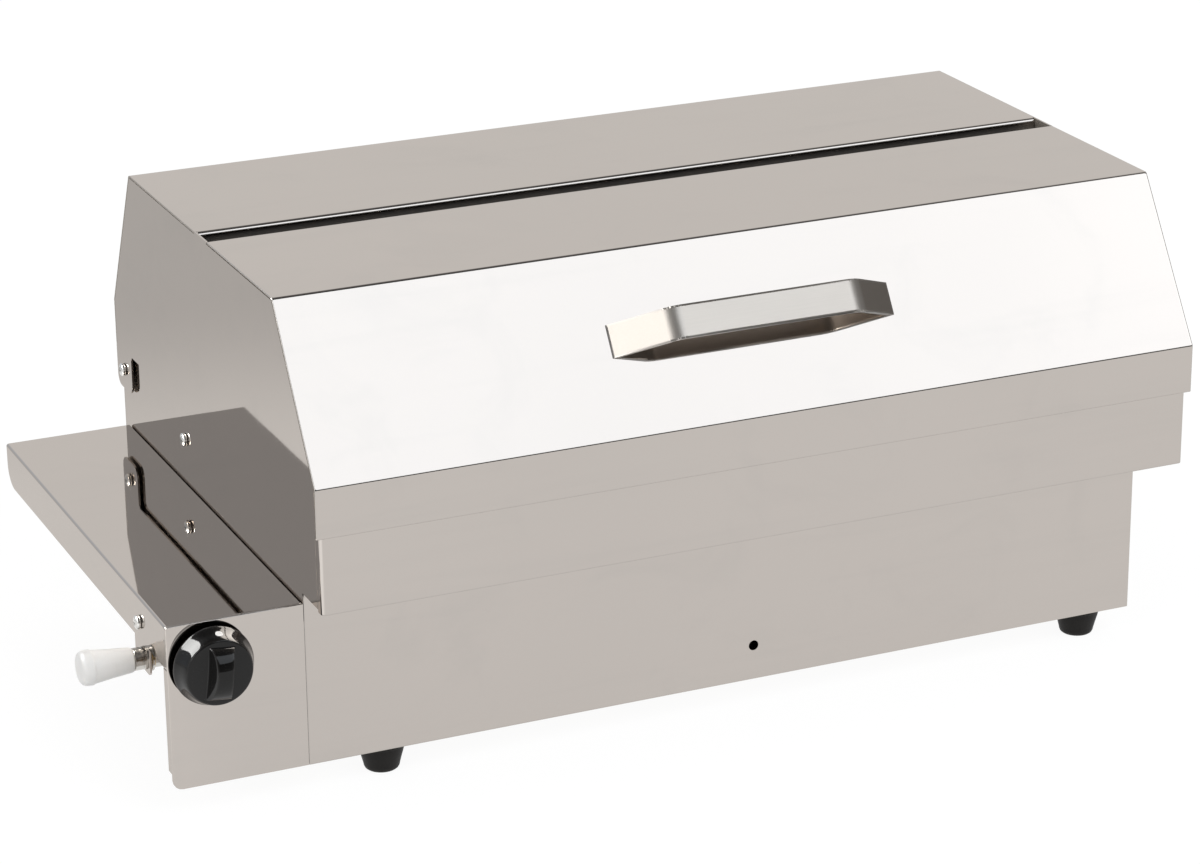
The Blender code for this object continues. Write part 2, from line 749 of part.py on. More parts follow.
def make_body_front():
    """The upright band under the hood and the stepped-back front of the lower box."""
    plan = filleted(
        [
            (-WALL_OUT, BAND_SETBACK + BAND_RETURN),
            (-WALL_OUT, BAND_SETBACK),
            (WALL_OUT, BAND_SETBACK),
            (WALL_OUT, BAND_SETBACK + BAND_RETURN),
        ],
        BEND,
    )
    band = bent_sheet("front_band", plan, BAND_BOTTOM, HOOD_LOWER + BAND_HOOD_LAP, "Z", side=-1)
    finish(band, STEEL_POLISHED)
    profile = filleted(
        [
            (BOX_FRONT, BOX_BOTTOM),
            (BOX_FRONT, LEDGE_UNDER),
            (BAND_INNER + GAP, LEDGE_UNDER),
        ],
        SHEET,
    )
    right = WALL_IN - LEDGE_SIDE_GAP
    front = bent_sheet("lower_front_panel", profile, -WALL_OUT, right, "X", side=1)
    relief_left = block(
        "ledge_relief_cutter",
        (-WALL_OUT - OVERRUN, BAND_SETBACK, BAND_BOTTOM),
        (-right, BOX_FRONT - SHEET, LEDGE_TOP + OVERRUN),
    )
    relief_right = block(
        "front_side_cutter",
        (BOX_RIGHT, BOX_FRONT - OVERRUN, BOX_BOTTOM - OVERRUN),
        (right + OVERRUN, BOX_FRONT_IN + OVERRUN, LEDGE_UNDER - GAP),
    )
    hole_level = BOX_BOTTOM + FRONT_HOLE_RISE
    cutter = rod(
        "front_hole_cutter",
        (FRONT_HOLE_OFFSET, BOX_FRONT - OVERRUN, hole_level),
        (FRONT_HOLE_OFFSET, BOX_FRONT_IN + OVERRUN, hole_level),
        FRONT_HOLE_RADIUS,
        ROUND_SIDES,
    )
    front = combine(front, [relief_left, relief_right, cutter], "DIFFERENCE")
    finish(front, STEEL_POLISHED)


def make_body_sides():
    """The side walls of the upper body and the narrower right side of the lower box."""
    pivot_hole = circle_points((PIVOT.y, PIVOT.z), SCREW_HOLE, SCREW_SIDES)
    rail_hole = circle_points((RAIL_SCREW_BACK, RAIL_SCREW_Z), SCREW_HOLE, SCREW_SIDES)
    burner_hole = circle_points(
        (BURNER_Y, BURNER_Z), BURNER_TUBE_RADIUS + BURNER_WALL_HOLE_CLEARANCE
    )
    lower_front = BOX_FRONT_IN + GAP
    rear = BODY_REAR_IN - GAP
    slope = math.tan(SLANT_ANGLE)
    under_hood = HOOD_BEND_LEVEL - (SHEET + GAP) / math.cos(SLANT_ANGLE)
    tab_rear = WALL_FRONT + REST_TAB_DEPTH
    upper = [
        (rear, RIM_TOP),
        (tab_rear, RIM_TOP),
        (tab_rear, under_hood + tab_rear * slope),
        (WALL_FRONT, under_hood + WALL_FRONT * slope),
        (WALL_FRONT, LEDGE_TOP + GAP),
    ]
    left_outline = [
        (lower_front, BASE_TOP + GAP),
        (rear, BASE_TOP + GAP),
        *upper,
        (lower_front, LEDGE_TOP + GAP),
    ]
    left = upright_plate(
        "side_wall_left",
        [left_outline, pivot_hole, rail_hole, burner_hole],
        -(WALL_OUT - SHEET / 2),
        SHEET,
    )
    finish(left, STEEL_POLISHED)
    right = upright_plate(
        "side_wall_right",
        [[*upper, (rear, LEDGE_TOP + GAP)], pivot_hole, rail_hole],
        WALL_OUT - SHEET / 2,
        SHEET,
    )
    finish(right, STEEL_POLISHED)


def tray_span():
    """The drip tray's front and rear faces, its left end and its height range."""
    return {
        "front": BOX_FRONT + TRAY_FRONT_INSET,
        "rear": BODY_REAR - TRAY_REAR_INSET,
        "left": -WALL_IN + TRAY_LEFT_INSET,
        "low": BASE_TOP + GAP,
        "high": BASE_TOP + GAP + TRAY_HEIGHT,
    }


def make_lower_right_panel():
    """The lower box's right side, folded out under the side wall, with the tray's opening."""
    profile = filleted(
        [
            (BOX_RIGHT, BASE_TOP + GAP),
            (BOX_RIGHT, LEDGE_UNDER),
            (WALL_IN - GAP, LEDGE_UNDER),
        ],
        SHEET,
    )
    panel = bent_sheet(
        "lower_right_panel",
        profile,
        BOX_FRONT_IN + GAP,
        BODY_REAR_IN - GAP,
        "Y",
        side=1,
    )
    span = tray_span()
    clear = TRAY_OPENING_CLEARANCE
    cutter = block(
        "tray_opening_cutter",
        (BOX_RIGHT_IN - OVERRUN, span["front"] - clear, BOX_BOTTOM),
        (BOX_RIGHT + OVERRUN, span["rear"] + clear, span["high"] + clear),
    )
    finish(combine(panel, [cutter], "DIFFERENCE"), STEEL_POLISHED)


def make_rear_panel():
    """The flat rear, wide above and narrower below, with its air slots and rear ledge."""
    right = BOX_RIGHT
    outline = [
        (-WALL_OUT, BASE_TOP + GAP),
        (right, BASE_TOP + GAP),
        (right, BAND_BOTTOM),
        (WALL_OUT, BAND_BOTTOM),
        (WALL_OUT, RIM_TOP),
        (-WALL_OUT, RIM_TOP),
    ]
    loops = [outline]
    slot_z = BAND_BOTTOM - REAR_VENT_BELOW_BAND
    for index in range(REAR_VENT_COUNT):
        x = (index - (REAR_VENT_COUNT - 1) / 2) * REAR_VENT_PITCH
        loops.append(
            filleted(
                box_points(
                    (x - REAR_VENT_LENGTH / 2, slot_z - REAR_VENT_WIDTH / 2),
                    (x + REAR_VENT_LENGTH / 2, slot_z + REAR_VENT_WIDTH / 2),
                ),
                REAR_VENT_WIDTH * REAR_VENT_ROUND_SHARE,
                closed=True,
                steps=2,
            )
        )
    finish(facing_plate("rear_panel", loops, BODY_REAR - SHEET / 2, SHEET), STEEL_POLISHED)
    ledge = filleted(
        [
            (BODY_REAR_IN - GAP, LEDGE_TOP - REAR_LEDGE_HEIGHT),
            (BODY_REAR_IN - GAP, LEDGE_TOP),
            (BODY_REAR_IN - GAP - REAR_LEDGE_DEPTH, LEDGE_TOP),
        ],
        BEND,
    )
    reach = BOX_RIGHT_IN - GAP
    finish(
        bent_sheet("rear_ledge", ledge, -WALL_IN + GAP, reach, "X", side=-1),
        STEEL_INNER,
    )


def foot_places():
    """Names and plan places of the four feet."""
    left = -HALF_WIDTH + FOOT_FROM_LEFT
    right = BOX_RIGHT - FOOT_FROM_RIGHT
    front = BOX_FRONT + FOOT_FROM_FRONT
    rear = BODY_REAR - FOOT_FROM_REAR
    return {
        "front_left": (left, front),
        "front_right": (right, front),
        "rear_left": (left, rear),
        "rear_right": (right, rear),
    }


def make_base_and_feet():
    """The base plate with four rubber feet, each on a screw from inside the box."""
    low = (-WALL_OUT, BOX_FRONT_IN + GAP)
    high = (BOX_RIGHT, BODY_REAR)
    loops = [box_points(low, high)]
    for x, y in foot_places().values():
        loops.append(circle_points((x, y), SCREW_HOLE, SCREW_SIDES))
    finish(level_plate("base_plate", loops, BOX_BOTTOM + SHEET / 2, SHEET), STEEL_POLISHED)
    top = BOX_BOTTOM - GAP
    bore_floor = top - FOOT_SCREW_REACH - GAP
    profile = [
        (SCREW_HOLE, top),
        (FOOT_TOP_RADIUS, top),
        (FOOT_BASE_RADIUS + FOOT_ROUND / 2, FOOT_ROUND),
        (FOOT_BASE_RADIUS, FOOT_ROUND / 3),
        (FOOT_BASE_RADIUS - FOOT_ROUND / 2, 0),
        (0, 0),
    ]
    bore = [(0, bore_floor), (SCREW_HOLE, bore_floor)]
    for name, (x, y) in foot_places().items():
        place = Vector((x, y, 0))
        foot = turned(f"foot_{name}", bore + profile, place, "+Z")
        finish(foot, BLACK_RUBBER)
        head = Vector((x, y, BASE_TOP))
        grip = SHEET + GAP + FOOT_SCREW_REACH - SCREW_THREAD_PAST
        pan_screw(f"foot_screw_{name}", head, "+Z", grip)


def make_side_shelf():
    """The shelf over the controls, with a deep flange on its outer edge."""
    front = BOX_FRONT_IN + GAP
    rear = HOOD_DEPTH - SHELF_REAR_SETBACK
    profile = filleted(
        [
            (-SHELF_IN, SHELF_TOP - SHELF_WALL_FLANGE),
            (-SHELF_IN, SHELF_TOP),
            (-SHELF_OUT, SHELF_TOP),
            (-SHELF_OUT, SHELF_TOP - SHELF_FLANGE),
        ],
        SHELF_BEND,
    )
    shelf = bent_sheet("side_shelf", profile, front, rear, "Y", side=1)
    bottom = SHELF_TOP - SHELF_FLANGE
    corner = [
        Vector((rear + OVERRUN, bottom - OVERRUN)),
        Vector((rear + OVERRUN, bottom + SHELF_CORNER)),
    ]
    steps = 2 * ARC_STEPS
    for step in range(steps + 1):
        angle = math.pi / 2 * step / steps
        corner.append(
            Vector((
                rear - SHELF_CORNER + SHELF_CORNER * math.cos(angle),
                bottom + SHELF_CORNER - SHELF_CORNER * math.sin(angle),
            ))
        )
    corner.append(Vector((rear - SHELF_CORNER, bottom - OVERRUN)))
    cutter = upright_plate(
        "shelf_corner_cutter", [corner], -SHELF_OUT + SHEET, 2 * SHEET + 2 * GAP
    )
    screw_z = INLET_Z + BRACKET_SCREW_ABOVE
    hole = rod(
        "shelf_screw_hole_cutter",
        (-SHELF_OUT - OVERRUN, BRACKET_SCREW_BACK, screw_z),
        (-SHELF_OUT + OVERRUN, BRACKET_SCREW_BACK, screw_z),
        SCREW_HOLE,
        SCREW_SIDES,
    )
    finish(combine(shelf, [cutter, hole], "DIFFERENCE"), STEEL_POLISHED)


def make_control_panel():
    """The front plate that carries the knob, with a short return on its left edge."""
    low = (-SHELF_OUT, BOX_BOTTOM)
    high = (-SHELF_IN, SHELF_TOP)
    outline = filleted(box_points(low, high), [PANEL_CORNER, 0, 0, SHELF_BEND], closed=True)
    bonnet = circle_points((KNOB_X, KNOB_Z), BONNET_RADIUS + GAP)
    panel = facing_plate("control_panel", [outline, bonnet], BOX_FRONT + SHEET / 2, SHEET)
    flange = block(
        "panel_return_shape",
        (low[0], BOX_FRONT + SHEET / 2, BOX_BOTTOM + PANEL_RETURN_RISE),
        (low[0] + SHEET, BOX_FRONT + PANEL_RETURN, SHELF_TOP - SHELF_FLANGE - GAP),
    )
    finish(combine(panel, [flange], "UNION"), STEEL_POLISHED)


def make_inlet():
    """The bracket behind the flange, the gas inlet fitting in it and its push-on cap."""
    low = (BRACKET_FRONT, INLET_Z - BRACKET_BELOW_INLET)
    high = (BRACKET_REAR, INLET_Z + BRACKET_ABOVE_INLET)
    outline = filleted(box_points(low, high), BRACKET_CORNER, closed=True)
    screw_z = INLET_Z + BRACKET_SCREW_ABOVE
    loops = [
        outline,
        circle_points((INLET_BACK, INLET_Z), INLET_RADIUS + GAP),
        circle_points((BRACKET_SCREW_BACK, screw_z), SCREW_HOLE, SCREW_SIDES),
    ]
    middle = -(BRACKET_OUT - SHEET / 2)
    finish(upright_plate("inlet_bracket", loops, middle, SHEET), STEEL_POLISHED)
    face = Vector((-SHELF_OUT, BRACKET_SCREW_BACK, screw_z))
    grip = SHELF_OUT - BRACKET_OUT + SHEET + NUT_THICKNESS
    pan_screw("bracket_screw", face, "-X", grip)
    inner = (-(BRACKET_OUT - SHEET), BRACKET_SCREW_BACK, screw_z)
    nut("bracket_nut", inner, "+X")

    tip = INLET_REACH + INLET_NOSE_LENGTH
    collar = -(SHELF_OUT - BRACKET_OUT + SHEET + GAP)
    back = -(SHELF_OUT + KNOB_X - TAP_BLOCK_WIDTH / 2 - GAP)
    profile = [
        (0, tip),
        (INLET_NOSE_RADIUS, tip),
        (INLET_NOSE_RADIUS, INLET_REACH),
        (INLET_RADIUS, INLET_REACH),
        (INLET_RADIUS, collar),
        (INLET_COLLAR_RADIUS, collar),
        (INLET_COLLAR_RADIUS, collar - INLET_COLLAR_LENGTH),
        (INLET_RADIUS, collar - INLET_COLLAR_LENGTH),
        (INLET_RADIUS, back),
        (0, back),
    ]
    place = Vector((-SHELF_OUT, INLET_BACK, INLET_Z))
    finish(turned("inlet_fitting", profile, place, "-X"), BRASS)

    start = INLET_REACH + GAP
    end = start + CAP_LENGTH
    dome = [
        (
            (CAP_LARGE_RADIUS - CAP_ROUND) + CAP_ROUND * math.sin(math.pi / 2 * k / ARC_STEPS),
            end - CAP_ROUND + CAP_ROUND * math.cos(math.pi / 2 * k / ARC_STEPS),
        )
        for k in range(ARC_STEPS + 1)
    ]
    bore = INLET_NOSE_RADIUS + GAP
    profile = [(0, end)] + dome + [
        (CAP_SMALL_RADIUS, start),
        (bore, start),
        (bore, start + CAP_SOCKET_DEPTH),
        (0, start + CAP_SOCKET_DEPTH),
    ]
    finish(turned("inlet_cap", profile, place, "-X"), WHITE_PLASTIC, CAP_CARRIER)


def make_tap():
    """The gas tap behind the panel, its lock nut and the jet that feeds the burner."""
    half = TAP_BLOCK_WIDTH / 2
    body = block(
        "tap_body",
        (KNOB_X - half, TAP_BLOCK_FRONT, KNOB_Z - TAP_BLOCK_DROP),
        (KNOB_X + half, TAP_BLOCK_REAR, KNOB_Z + TAP_BLOCK_RISE),
    )
    front = BOX_FRONT - LOCK_NUT_THICKNESS - GAP
    bonnet = rod(
        "tap_bonnet_shape",
        (KNOB_X, front, KNOB_Z),
        (KNOB_X, TAP_BLOCK_FRONT + OVERRUN, KNOB_Z),
        BONNET_RADIUS,
        ROUND_SIDES,
    )
    body = combine(body, [bonnet], "UNION")
    bore = rod(
        "tap_bore_cutter",
        (KNOB_X, front - OVERRUN, KNOB_Z),
        (KNOB_X, TAP_BLOCK_FRONT, KNOB_Z),
        SPINDLE_RADIUS + GAP,
        SCREW_SIDES,
    )
    finish(combine(body, [bore], "DIFFERENCE"), BRASS)
    loops = [
        hex_points((KNOB_X, KNOB_Z), LOCK_NUT_ACROSS),
        circle_points((KNOB_X, KNOB_Z), BONNET_RADIUS + GAP),
    ]
    nut_middle = BOX_FRONT - GAP - LOCK_NUT_THICKNESS / 2
    finish(facing_plate("tap_lock_nut", loops, nut_middle, LOCK_NUT_THICKNESS), STEEL_FASTENER)

    start = KNOB_X + half + GAP
    tip = -WALL_OUT + GAP
    shoulder = tip - JET_TIP_LENGTH
    hexagon = shoulder - JET_HEX_LENGTH
    holder = turned(
        "injector",
        [
            (0, tip - start),
            (JET_TIP_RADIUS * JET_NOSE_SHARE, tip - start),
            (JET_TIP_RADIUS, tip - start - JET_TIP_RADIUS),
            (JET_TIP_RADIUS, shoulder - start),
            (JET_HOLDER_RADIUS, shoulder - start),
            (JET_HOLDER_RADIUS, 0),
            (0, 0),
        ],
        Vector((start, BURNER_Y, BURNER_Z)),
        "+X",
    )
    collar = plate(
        "injector_hex_shape",
        [hex_points((0, 0), JET_HEX_ACROSS)],
        Vector(((hexagon + shoulder) / 2 - OVERRUN / 2, BURNER_Y, BURNER_Z)),
        JET_HEX_LENGTH,
        "+X",
    )
    finish(combine(holder, [collar], "UNION"), BRASS)


def make_knob():
    """The pressed-in spindle and the flared knob with its grip bar."""
    socket_end = KNOB_CAVITY_DEPTH + KNOB_SOCKET_DEPTH
    reach = KNOB_STAND_OFF + BONNET_LENGTH - KNOB_TRAVEL - 2 * GAP
    profile = [
        (0, socket_end - GAP),
        (SPINDLE_RADIUS, socket_end - GAP),
        (SPINDLE_RADIUS, -reach),
        (0, -reach),
    ]
    place = Vector((KNOB_X, KNOB_BASE_Y, KNOB_Z))
    spindle = turned("tap_spindle", profile, place, "-Y", SCREW_SIDES)
    finish(spindle, STEEL_FASTENER, KNOB_CARRIER)

    edge = [
        (
            KNOB_FACE_RADIUS - KNOB_EDGE + KNOB_EDGE * math.sin(math.pi / 2 * k / ARC_STEPS),
            KNOB_HEIGHT - KNOB_EDGE + KNOB_EDGE * math.cos(math.pi / 2 * k / ARC_STEPS),
        )
        for k in range(ARC_STEPS + 1)
    ]
    socket = SPINDLE_RADIUS + GAP
    profile = [(0, KNOB_HEIGHT)] + edge + [
        (KNOB_BASE_RADIUS, KNOB_EDGE),
        (KNOB_BASE_RADIUS, 0),
        (KNOB_CAVITY_RADIUS, 0),
        (KNOB_CAVITY_RADIUS, KNOB_CAVITY_DEPTH),
        (socket, KNOB_CAVITY_DEPTH),
        (socket, socket_end),
        (0, socket_end),
    ]
    body = turned("knob", profile, place, "-Y", 2 * ROUND_SIDES)
    length = KNOB_FACE_RADIUS - GRIP_END_INSET
    face = KNOB_BASE_Y - KNOB_HEIGHT
    ridge = [
        (-GRIP_FOOT_WIDTH / 2, face + GRIP_SINK),
        (-GRIP_WIDTH / 2, face - GRIP_RISE),
        (GRIP_WIDTH / 2, face - GRIP_RISE),
        (GRIP_FOOT_WIDTH / 2, face + GRIP_SINK),
    ]
    outline = [Vector((KNOB_X + x, y)) for x, y in ridge]
    bar = level_plate("knob_grip_shape", [outline], KNOB_Z, 2 * length)
    round_limit = rod(
        "knob_grip_limit_shape",
        (KNOB_X, face - 2 * GRIP_RISE, KNOB_Z),
        (KNOB_X, face + OVERRUN, KNOB_Z),
        length,
        2 * ROUND_SIDES,
    )
    bar = combine(bar, [round_limit], "INTERSECT")
    finish(combine(body, [bar], "UNION"), BLACK_KNOB, KNOB_CARRIER)


def burner_path(start, end):
    """The burner's centre line from a start x on its front leg to an end x on its rear leg."""
    radius = BURNER_PITCH / 2
    turn_x = BOX_RIGHT_IN - BURNER_RIGHT_GAP - radius
    middle = BURNER_Y + radius
    points = [Vector((start, BURNER_Y, BURNER_Z))]
    turns = 4 * ARC_STEPS
    for step in range(turns + 1):
        angle = math.pi * step / turns
        x = turn_x + radius * math.sin(angle)
        points.append(Vector((x, middle - radius * math.cos(angle), BURNER_Z)))
    points.append(Vector((end, BURNER_Y + BURNER_PITCH, BURNER_Z)))
    return points


def make_burner():
    """The U-shaped tube burner, fed at its left end and resting on a bracket at its right."""
    start = -WALL_OUT - BURNER_MOUTH_OUT
    end = -WALL_IN + BURNER_REAR_LEG_LEFT
    burner = tube("burner", burner_path(start, end), BURNER_TUBE_RADIUS)
    inner = BURNER_TUBE_RADIUS - BURNER_WALL
    hollow = tube("burner_hollow_cutter", burner_path(start - OVERRUN, end + BURNER_WALL), inner)
    burner = combine(burner, [hollow], "DIFFERENCE")
    ports = []
    for row, y in enumerate((BURNER_Y, BURNER_Y + BURNER_PITCH)):
        for index in range(BURNER_PORT_COUNT):
            x = (index - (BURNER_PORT_COUNT - 1) / 2) * BURNER_PORT_PITCH
            ports.append(
                block(
                    f"burner_port_cutter_{row}_{index}",
                    (x - BURNER_PORT_WIDTH / 2, y - BURNER_PORT_LENGTH / 2, BURNER_Z),
                    (
                        x + BURNER_PORT_WIDTH / 2,
                        y + BURNER_PORT_LENGTH / 2,
                        BURNER_Z + BURNER_TUBE_RADIUS + OVERRUN,
                    ),
                )
            )
    ports = gathered("burner_ports_cutter", ports)
    finish(combine(burner, [ports], "DIFFERENCE"), STEEL_ROD)
    under = BURNER_Z - BURNER_TUBE_RADIUS - GAP
    hook = filleted(
        [
            (BOX_RIGHT_IN - GAP, under - BURNER_BRACKET_WIDTH),
            (BOX_RIGHT_IN - GAP, under),
            (BOX_RIGHT_IN - BURNER_RIGHT_GAP - 2 * BURNER_TUBE_RADIUS, under),
        ],
        BEND,
    )
    middle = BURNER_Y + BURNER_PITCH / 2
    bracket = bent_sheet(
        "burner_bracket",
        hook,
        middle - BURNER_BRACKET_WIDTH / 2,
        middle + BURNER_BRACKET_WIDTH / 2,
        "Y",
        side=1,
    )
    finish(bracket, STEEL_INNER)


def make_heat_plate():
    """The slotted, raised plate that spreads the flame, resting on the ledges."""
    front = BAND_INNER + HEAT_PLATE_EDGE_GAP
    rear = BODY_REAR_IN - HEAT_PLATE_EDGE_GAP
    foot = LEDGE_TOP + GAP
    top = foot + HEAT_PLATE_RISE
    profile = filleted(
        [
            (front, foot),
            (front + HEAT_PLATE_FLANGE, foot),
            (front + HEAT_PLATE_FLANGE + HEAT_PLATE_SLOPE, top),
            (rear - HEAT_PLATE_FLANGE - HEAT_PLATE_SLOPE, top),
            (rear - HEAT_PLATE_FLANGE, foot),
            (rear, foot),
        ],
        BEND,
        steps=2,
    )
    half = WALL_IN - HEAT_PLATE_SIDE_GAP
    sheet = bent_sheet("heat_plate", profile, -half, half, "X", side=-1)
    cutters = []
    for row, y in enumerate((BURNER_Y, BURNER_Y + BURNER_PITCH)):
        for index in range(HEAT_SLOT_COUNT):
            x = (index - (HEAT_SLOT_COUNT - 1) / 2) * HEAT_SLOT_PITCH
            cutters.append(
                block(
                    f"heat_slot_cutter_{row}_{index}",
                    (x - HEAT_SLOT_LENGTH / 2, y - HEAT_SLOT_WIDTH / 2, top - OVERRUN),
                    (x + HEAT_SLOT_LENGTH / 2, y + HEAT_SLOT_WIDTH / 2, top + OVERRUN),
                )
            )
    slots = gathered("heat_slots_cutter", cutters)
    finish(combine(sheet, [slots], "DIFFERENCE"), STEEL_INNER, HEAT_CARRIER)


def make_rails():
    """The angle rails that carry the grate, each screwed to its side wall."""
    low = RAIL_SCREW_Z - RAIL_BELOW_SCREW
    front = WALL_FRONT + RAIL_FRONT_INSET
    rear = BODY_REAR_IN - RAIL_REAR_INSET
    for side, sign, out, inward in (("left", -1, "-X", "+X"), ("right", 1, "+X", "-X")):
        wall = sign * (WALL_IN - GAP)
        profile = filleted(
            [
                (wall, low),
                (wall, RAIL_TOP),
                (wall - sign * RAIL_LEDGE, RAIL_TOP),
            ],
            BEND,
        )
        rail = bent_sheet(f"grate_rail_{side}", profile, front, rear, "Y", side=sign)
        cutter = rod(
            f"rail_hole_cutter_{side}",
            (wall - sign * OVERRUN, RAIL_SCREW_BACK, RAIL_SCREW_Z),
            (wall + sign * OVERRUN, RAIL_SCREW_BACK, RAIL_SCREW_Z),
            SCREW_HOLE,
            SCREW_SIDES,
        )
        finish(combine(rail, [cutter], "DIFFERENCE"), STEEL_INNER)
        face = Vector((sign * WALL_OUT, RAIL_SCREW_BACK, RAIL_SCREW_Z))
        pan_screw(f"rail_screw_{side}", face, out, 2 * SHEET + GAP + NUT_THICKNESS)
        inner = (sign * (WALL_IN - GAP - SHEET), RAIL_SCREW_BACK, RAIL_SCREW_Z)
        nut(f"rail_nut_{side}", inner, inward)


def make_grate():
    """The cooking grate: a rod frame with bars welded across it."""
    level = RAIL_TOP + GAP + GRATE_FRAME_RADIUS
    side = WALL_IN - GRATE_SIDE_GAP - GRATE_FRAME_RADIUS
    front = WALL_FRONT + GRATE_FRONT_GAP
    rear = BODY_REAR_IN - GRATE_REAR_GAP
    past = GRATE_FRAME_RADIUS + GRATE_OVERHANG
    outline = filleted(
        box_points((-side, front), (side, rear)), GRATE_CORNER, closed=True, steps=3
    )
    ring = [Vector((point.x, point.y, level)) for point in outline]
    frame = tube("cooking_grate", ring, GRATE_FRAME_RADIUS, ring=True)
    middle = (front + rear) / 2
    cross = rod("grate_cross_shape", (-side, middle, level), (side, middle, level), GRATE_ROD_RADIUS)
    bars = []
    bar_level = level + GRATE_FRAME_RADIUS + GRATE_ROD_RADIUS - GRATE_WELD_SINK
    count = int((2 * side - 2 * GRATE_CORNER) / GRATE_PITCH) + 1
    for index in range(count):
        x = (index - (count - 1) / 2) * GRATE_PITCH
        bars.append(
            rod(
                f"grate_bar_shape_{index}",
                (x, front - past, bar_level),
                (x, rear + past, bar_level),
                GRATE_ROD_RADIUS,
            )
        )
    bars = gathered("grate_bars_shape", bars)
    finish(combine(frame, [bars, cross], "UNION"), STEEL_ROD, GRATE_CARRIER)


def make_drip_tray():
    """The grease tray that slides out at the right, between two guides."""
    span = tray_span()
    face_x = BOX_RIGHT + GAP
    outer = block(
        "drip_tray",
        (span["left"], span["front"], span["low"]),
        (face_x + TRAY_SHEET, span["rear"], span["high"]),
    )
    hollow = block(
        "tray_hollow_cutter",
        (span["left"] + TRAY_SHEET, span["front"] + TRAY_SHEET, span["low"] + TRAY_SHEET),
        (face_x, span["rear"] - TRAY_SHEET, span["high"] + OVERRUN),
    )
    face = block(
        "tray_face_shape",
        (face_x, span["front"] - TRAY_FACE_LAP, span["low"]),
        (face_x + TRAY_SHEET, span["rear"] + TRAY_FACE_LAP, span["high"] + TRAY_FACE_LAP),
    )
    lip = block(
        "tray_lip_shape",
        (face_x, span["front"], span["high"] + TRAY_FACE_LAP - TRAY_SHEET),
        (face_x + TRAY_LIP, span["rear"], span["high"] + TRAY_FACE_LAP),
    )
    tray = combine(outer, [hollow], "DIFFERENCE")
    finish(combine(tray, [face, lip], "UNION"), STEEL_BRUSHED, TRAY_CARRIER)
    left = -WALL_IN + GAP
    right = BOX_RIGHT_IN - GAP
    clear = TRAY_GUIDE_CLEARANCE
    guides = {
        "front": (span["front"] - clear - SHEET, span["front"] - clear),
        "rear": (span["rear"] + clear, span["rear"] + clear + SHEET),
    }
    for name, (low, high) in guides.items():
        guide = block(
            f"tray_guide_{name}",
            (left, low, BASE_TOP + GAP),
            (right, high, BASE_TOP + GAP + TRAY_GUIDE_HEIGHT),
        )
        finish(guide, STEEL_INNER)


make_hood_wraps()
make_hood_sides()
make_handle()
make_hinges()
make_body_front()
make_body_sides()
make_lower_right_panel()
make_rear_panel()
make_base_and_feet()
make_side_shelf()
make_control_panel()
make_inlet()
make_tap()
make_knob()
make_burner()
make_heat_plate()
make_rails()
make_grate()
make_drip_tray()
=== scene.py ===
"""Looks of the table-top gas grill: polished sheet steel, satin handle, glossy knob.

Pieces are drawn in the grill's own plan: X to the right from the hood's middle, Y back from
the hood's front skirt, Z up from the table, in metres. DATUM moves them onto the frame.
"""
import math
from contextlib import contextmanager

import bmesh
import bpy
from mathutils import Matrix, Vector


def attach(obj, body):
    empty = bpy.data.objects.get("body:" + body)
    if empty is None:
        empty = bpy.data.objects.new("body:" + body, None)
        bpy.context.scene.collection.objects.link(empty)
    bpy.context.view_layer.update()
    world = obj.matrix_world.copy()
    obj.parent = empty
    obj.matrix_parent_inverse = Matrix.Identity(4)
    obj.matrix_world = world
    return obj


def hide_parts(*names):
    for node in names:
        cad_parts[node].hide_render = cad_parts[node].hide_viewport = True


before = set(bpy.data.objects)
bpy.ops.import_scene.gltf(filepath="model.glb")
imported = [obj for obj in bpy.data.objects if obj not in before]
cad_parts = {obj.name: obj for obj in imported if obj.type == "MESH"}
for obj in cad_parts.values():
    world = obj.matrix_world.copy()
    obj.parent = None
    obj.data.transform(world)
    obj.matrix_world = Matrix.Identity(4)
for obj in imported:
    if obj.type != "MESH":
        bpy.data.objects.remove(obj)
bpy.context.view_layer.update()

DATUM = Vector((0.058, -0.186, 0))
SHEET = 0.0012
GAP = 0.0003
MERGE = 0.000001
BEND_STEPS = 10
RIM = 0.0014
SHEET_EDGE = 0.00045
CUT_EDGE = 0.00016
ROUNDED = 0.0010
HALF = 0.285
DEPTH = 0.372
SKIRT_LOW = 0.1705
BEND_LEVEL = 0.2004
TOP = 0.2947
SLANT_RUN = 0.061
SLANT = math.atan2(TOP - BEND_LEVEL, SLANT_RUN)
WALL_OUT = 0.2825
WALL_IN = 0.2813
BAND_LOW = 0.1233
BAND_HIGH = 0.184
BAND_FRONT = 0.0022
BOX_FRONT = 0.0334
BOX_LOW = 0.018
SHELF_TOP = 0.1192
SHELF_OUT = 0.365
SHELF_IN = 0.2828
SHELF_REAR = 0.358
KNOB_AT = Vector((-0.339, 0.0296, 0.0933))
INLET_AT = Vector((-SHELF_OUT, 0.081, 0.082))
SCREW_HEAD = 0.0042
SCREW_RISE = 0.0028
SCREW_SHANK = 0.0098
FOOT_SCREW_SHANK = 0.0125
FOOT_SCREW_LEVEL = 0.0195
BRACKET_SCREW_AT = (0.0835, 0.1035)
FRONT_HOLE_AT = (0.0035, 0.0401)
HOOD_BEND = 0.0026
SHELF_BEND = 0.0016
FLANGE_DROP = 0.0268
FLANGE_ROUND = 0.014
FOLD_WEAR = 0.55
KNOB_LEAN = 6
BAR_COUNT = 33
BAR_PITCH = 0.0165
FLOOR_WHITE = 1.07
FLOOR_DIM = 0.74
FLOOR_BRIGHT = 1.5
FLOOR_SHARE = 0.86
CAMERA_AT = (-0.8823, -2.0590, 0.9736)
LENS = 114.9

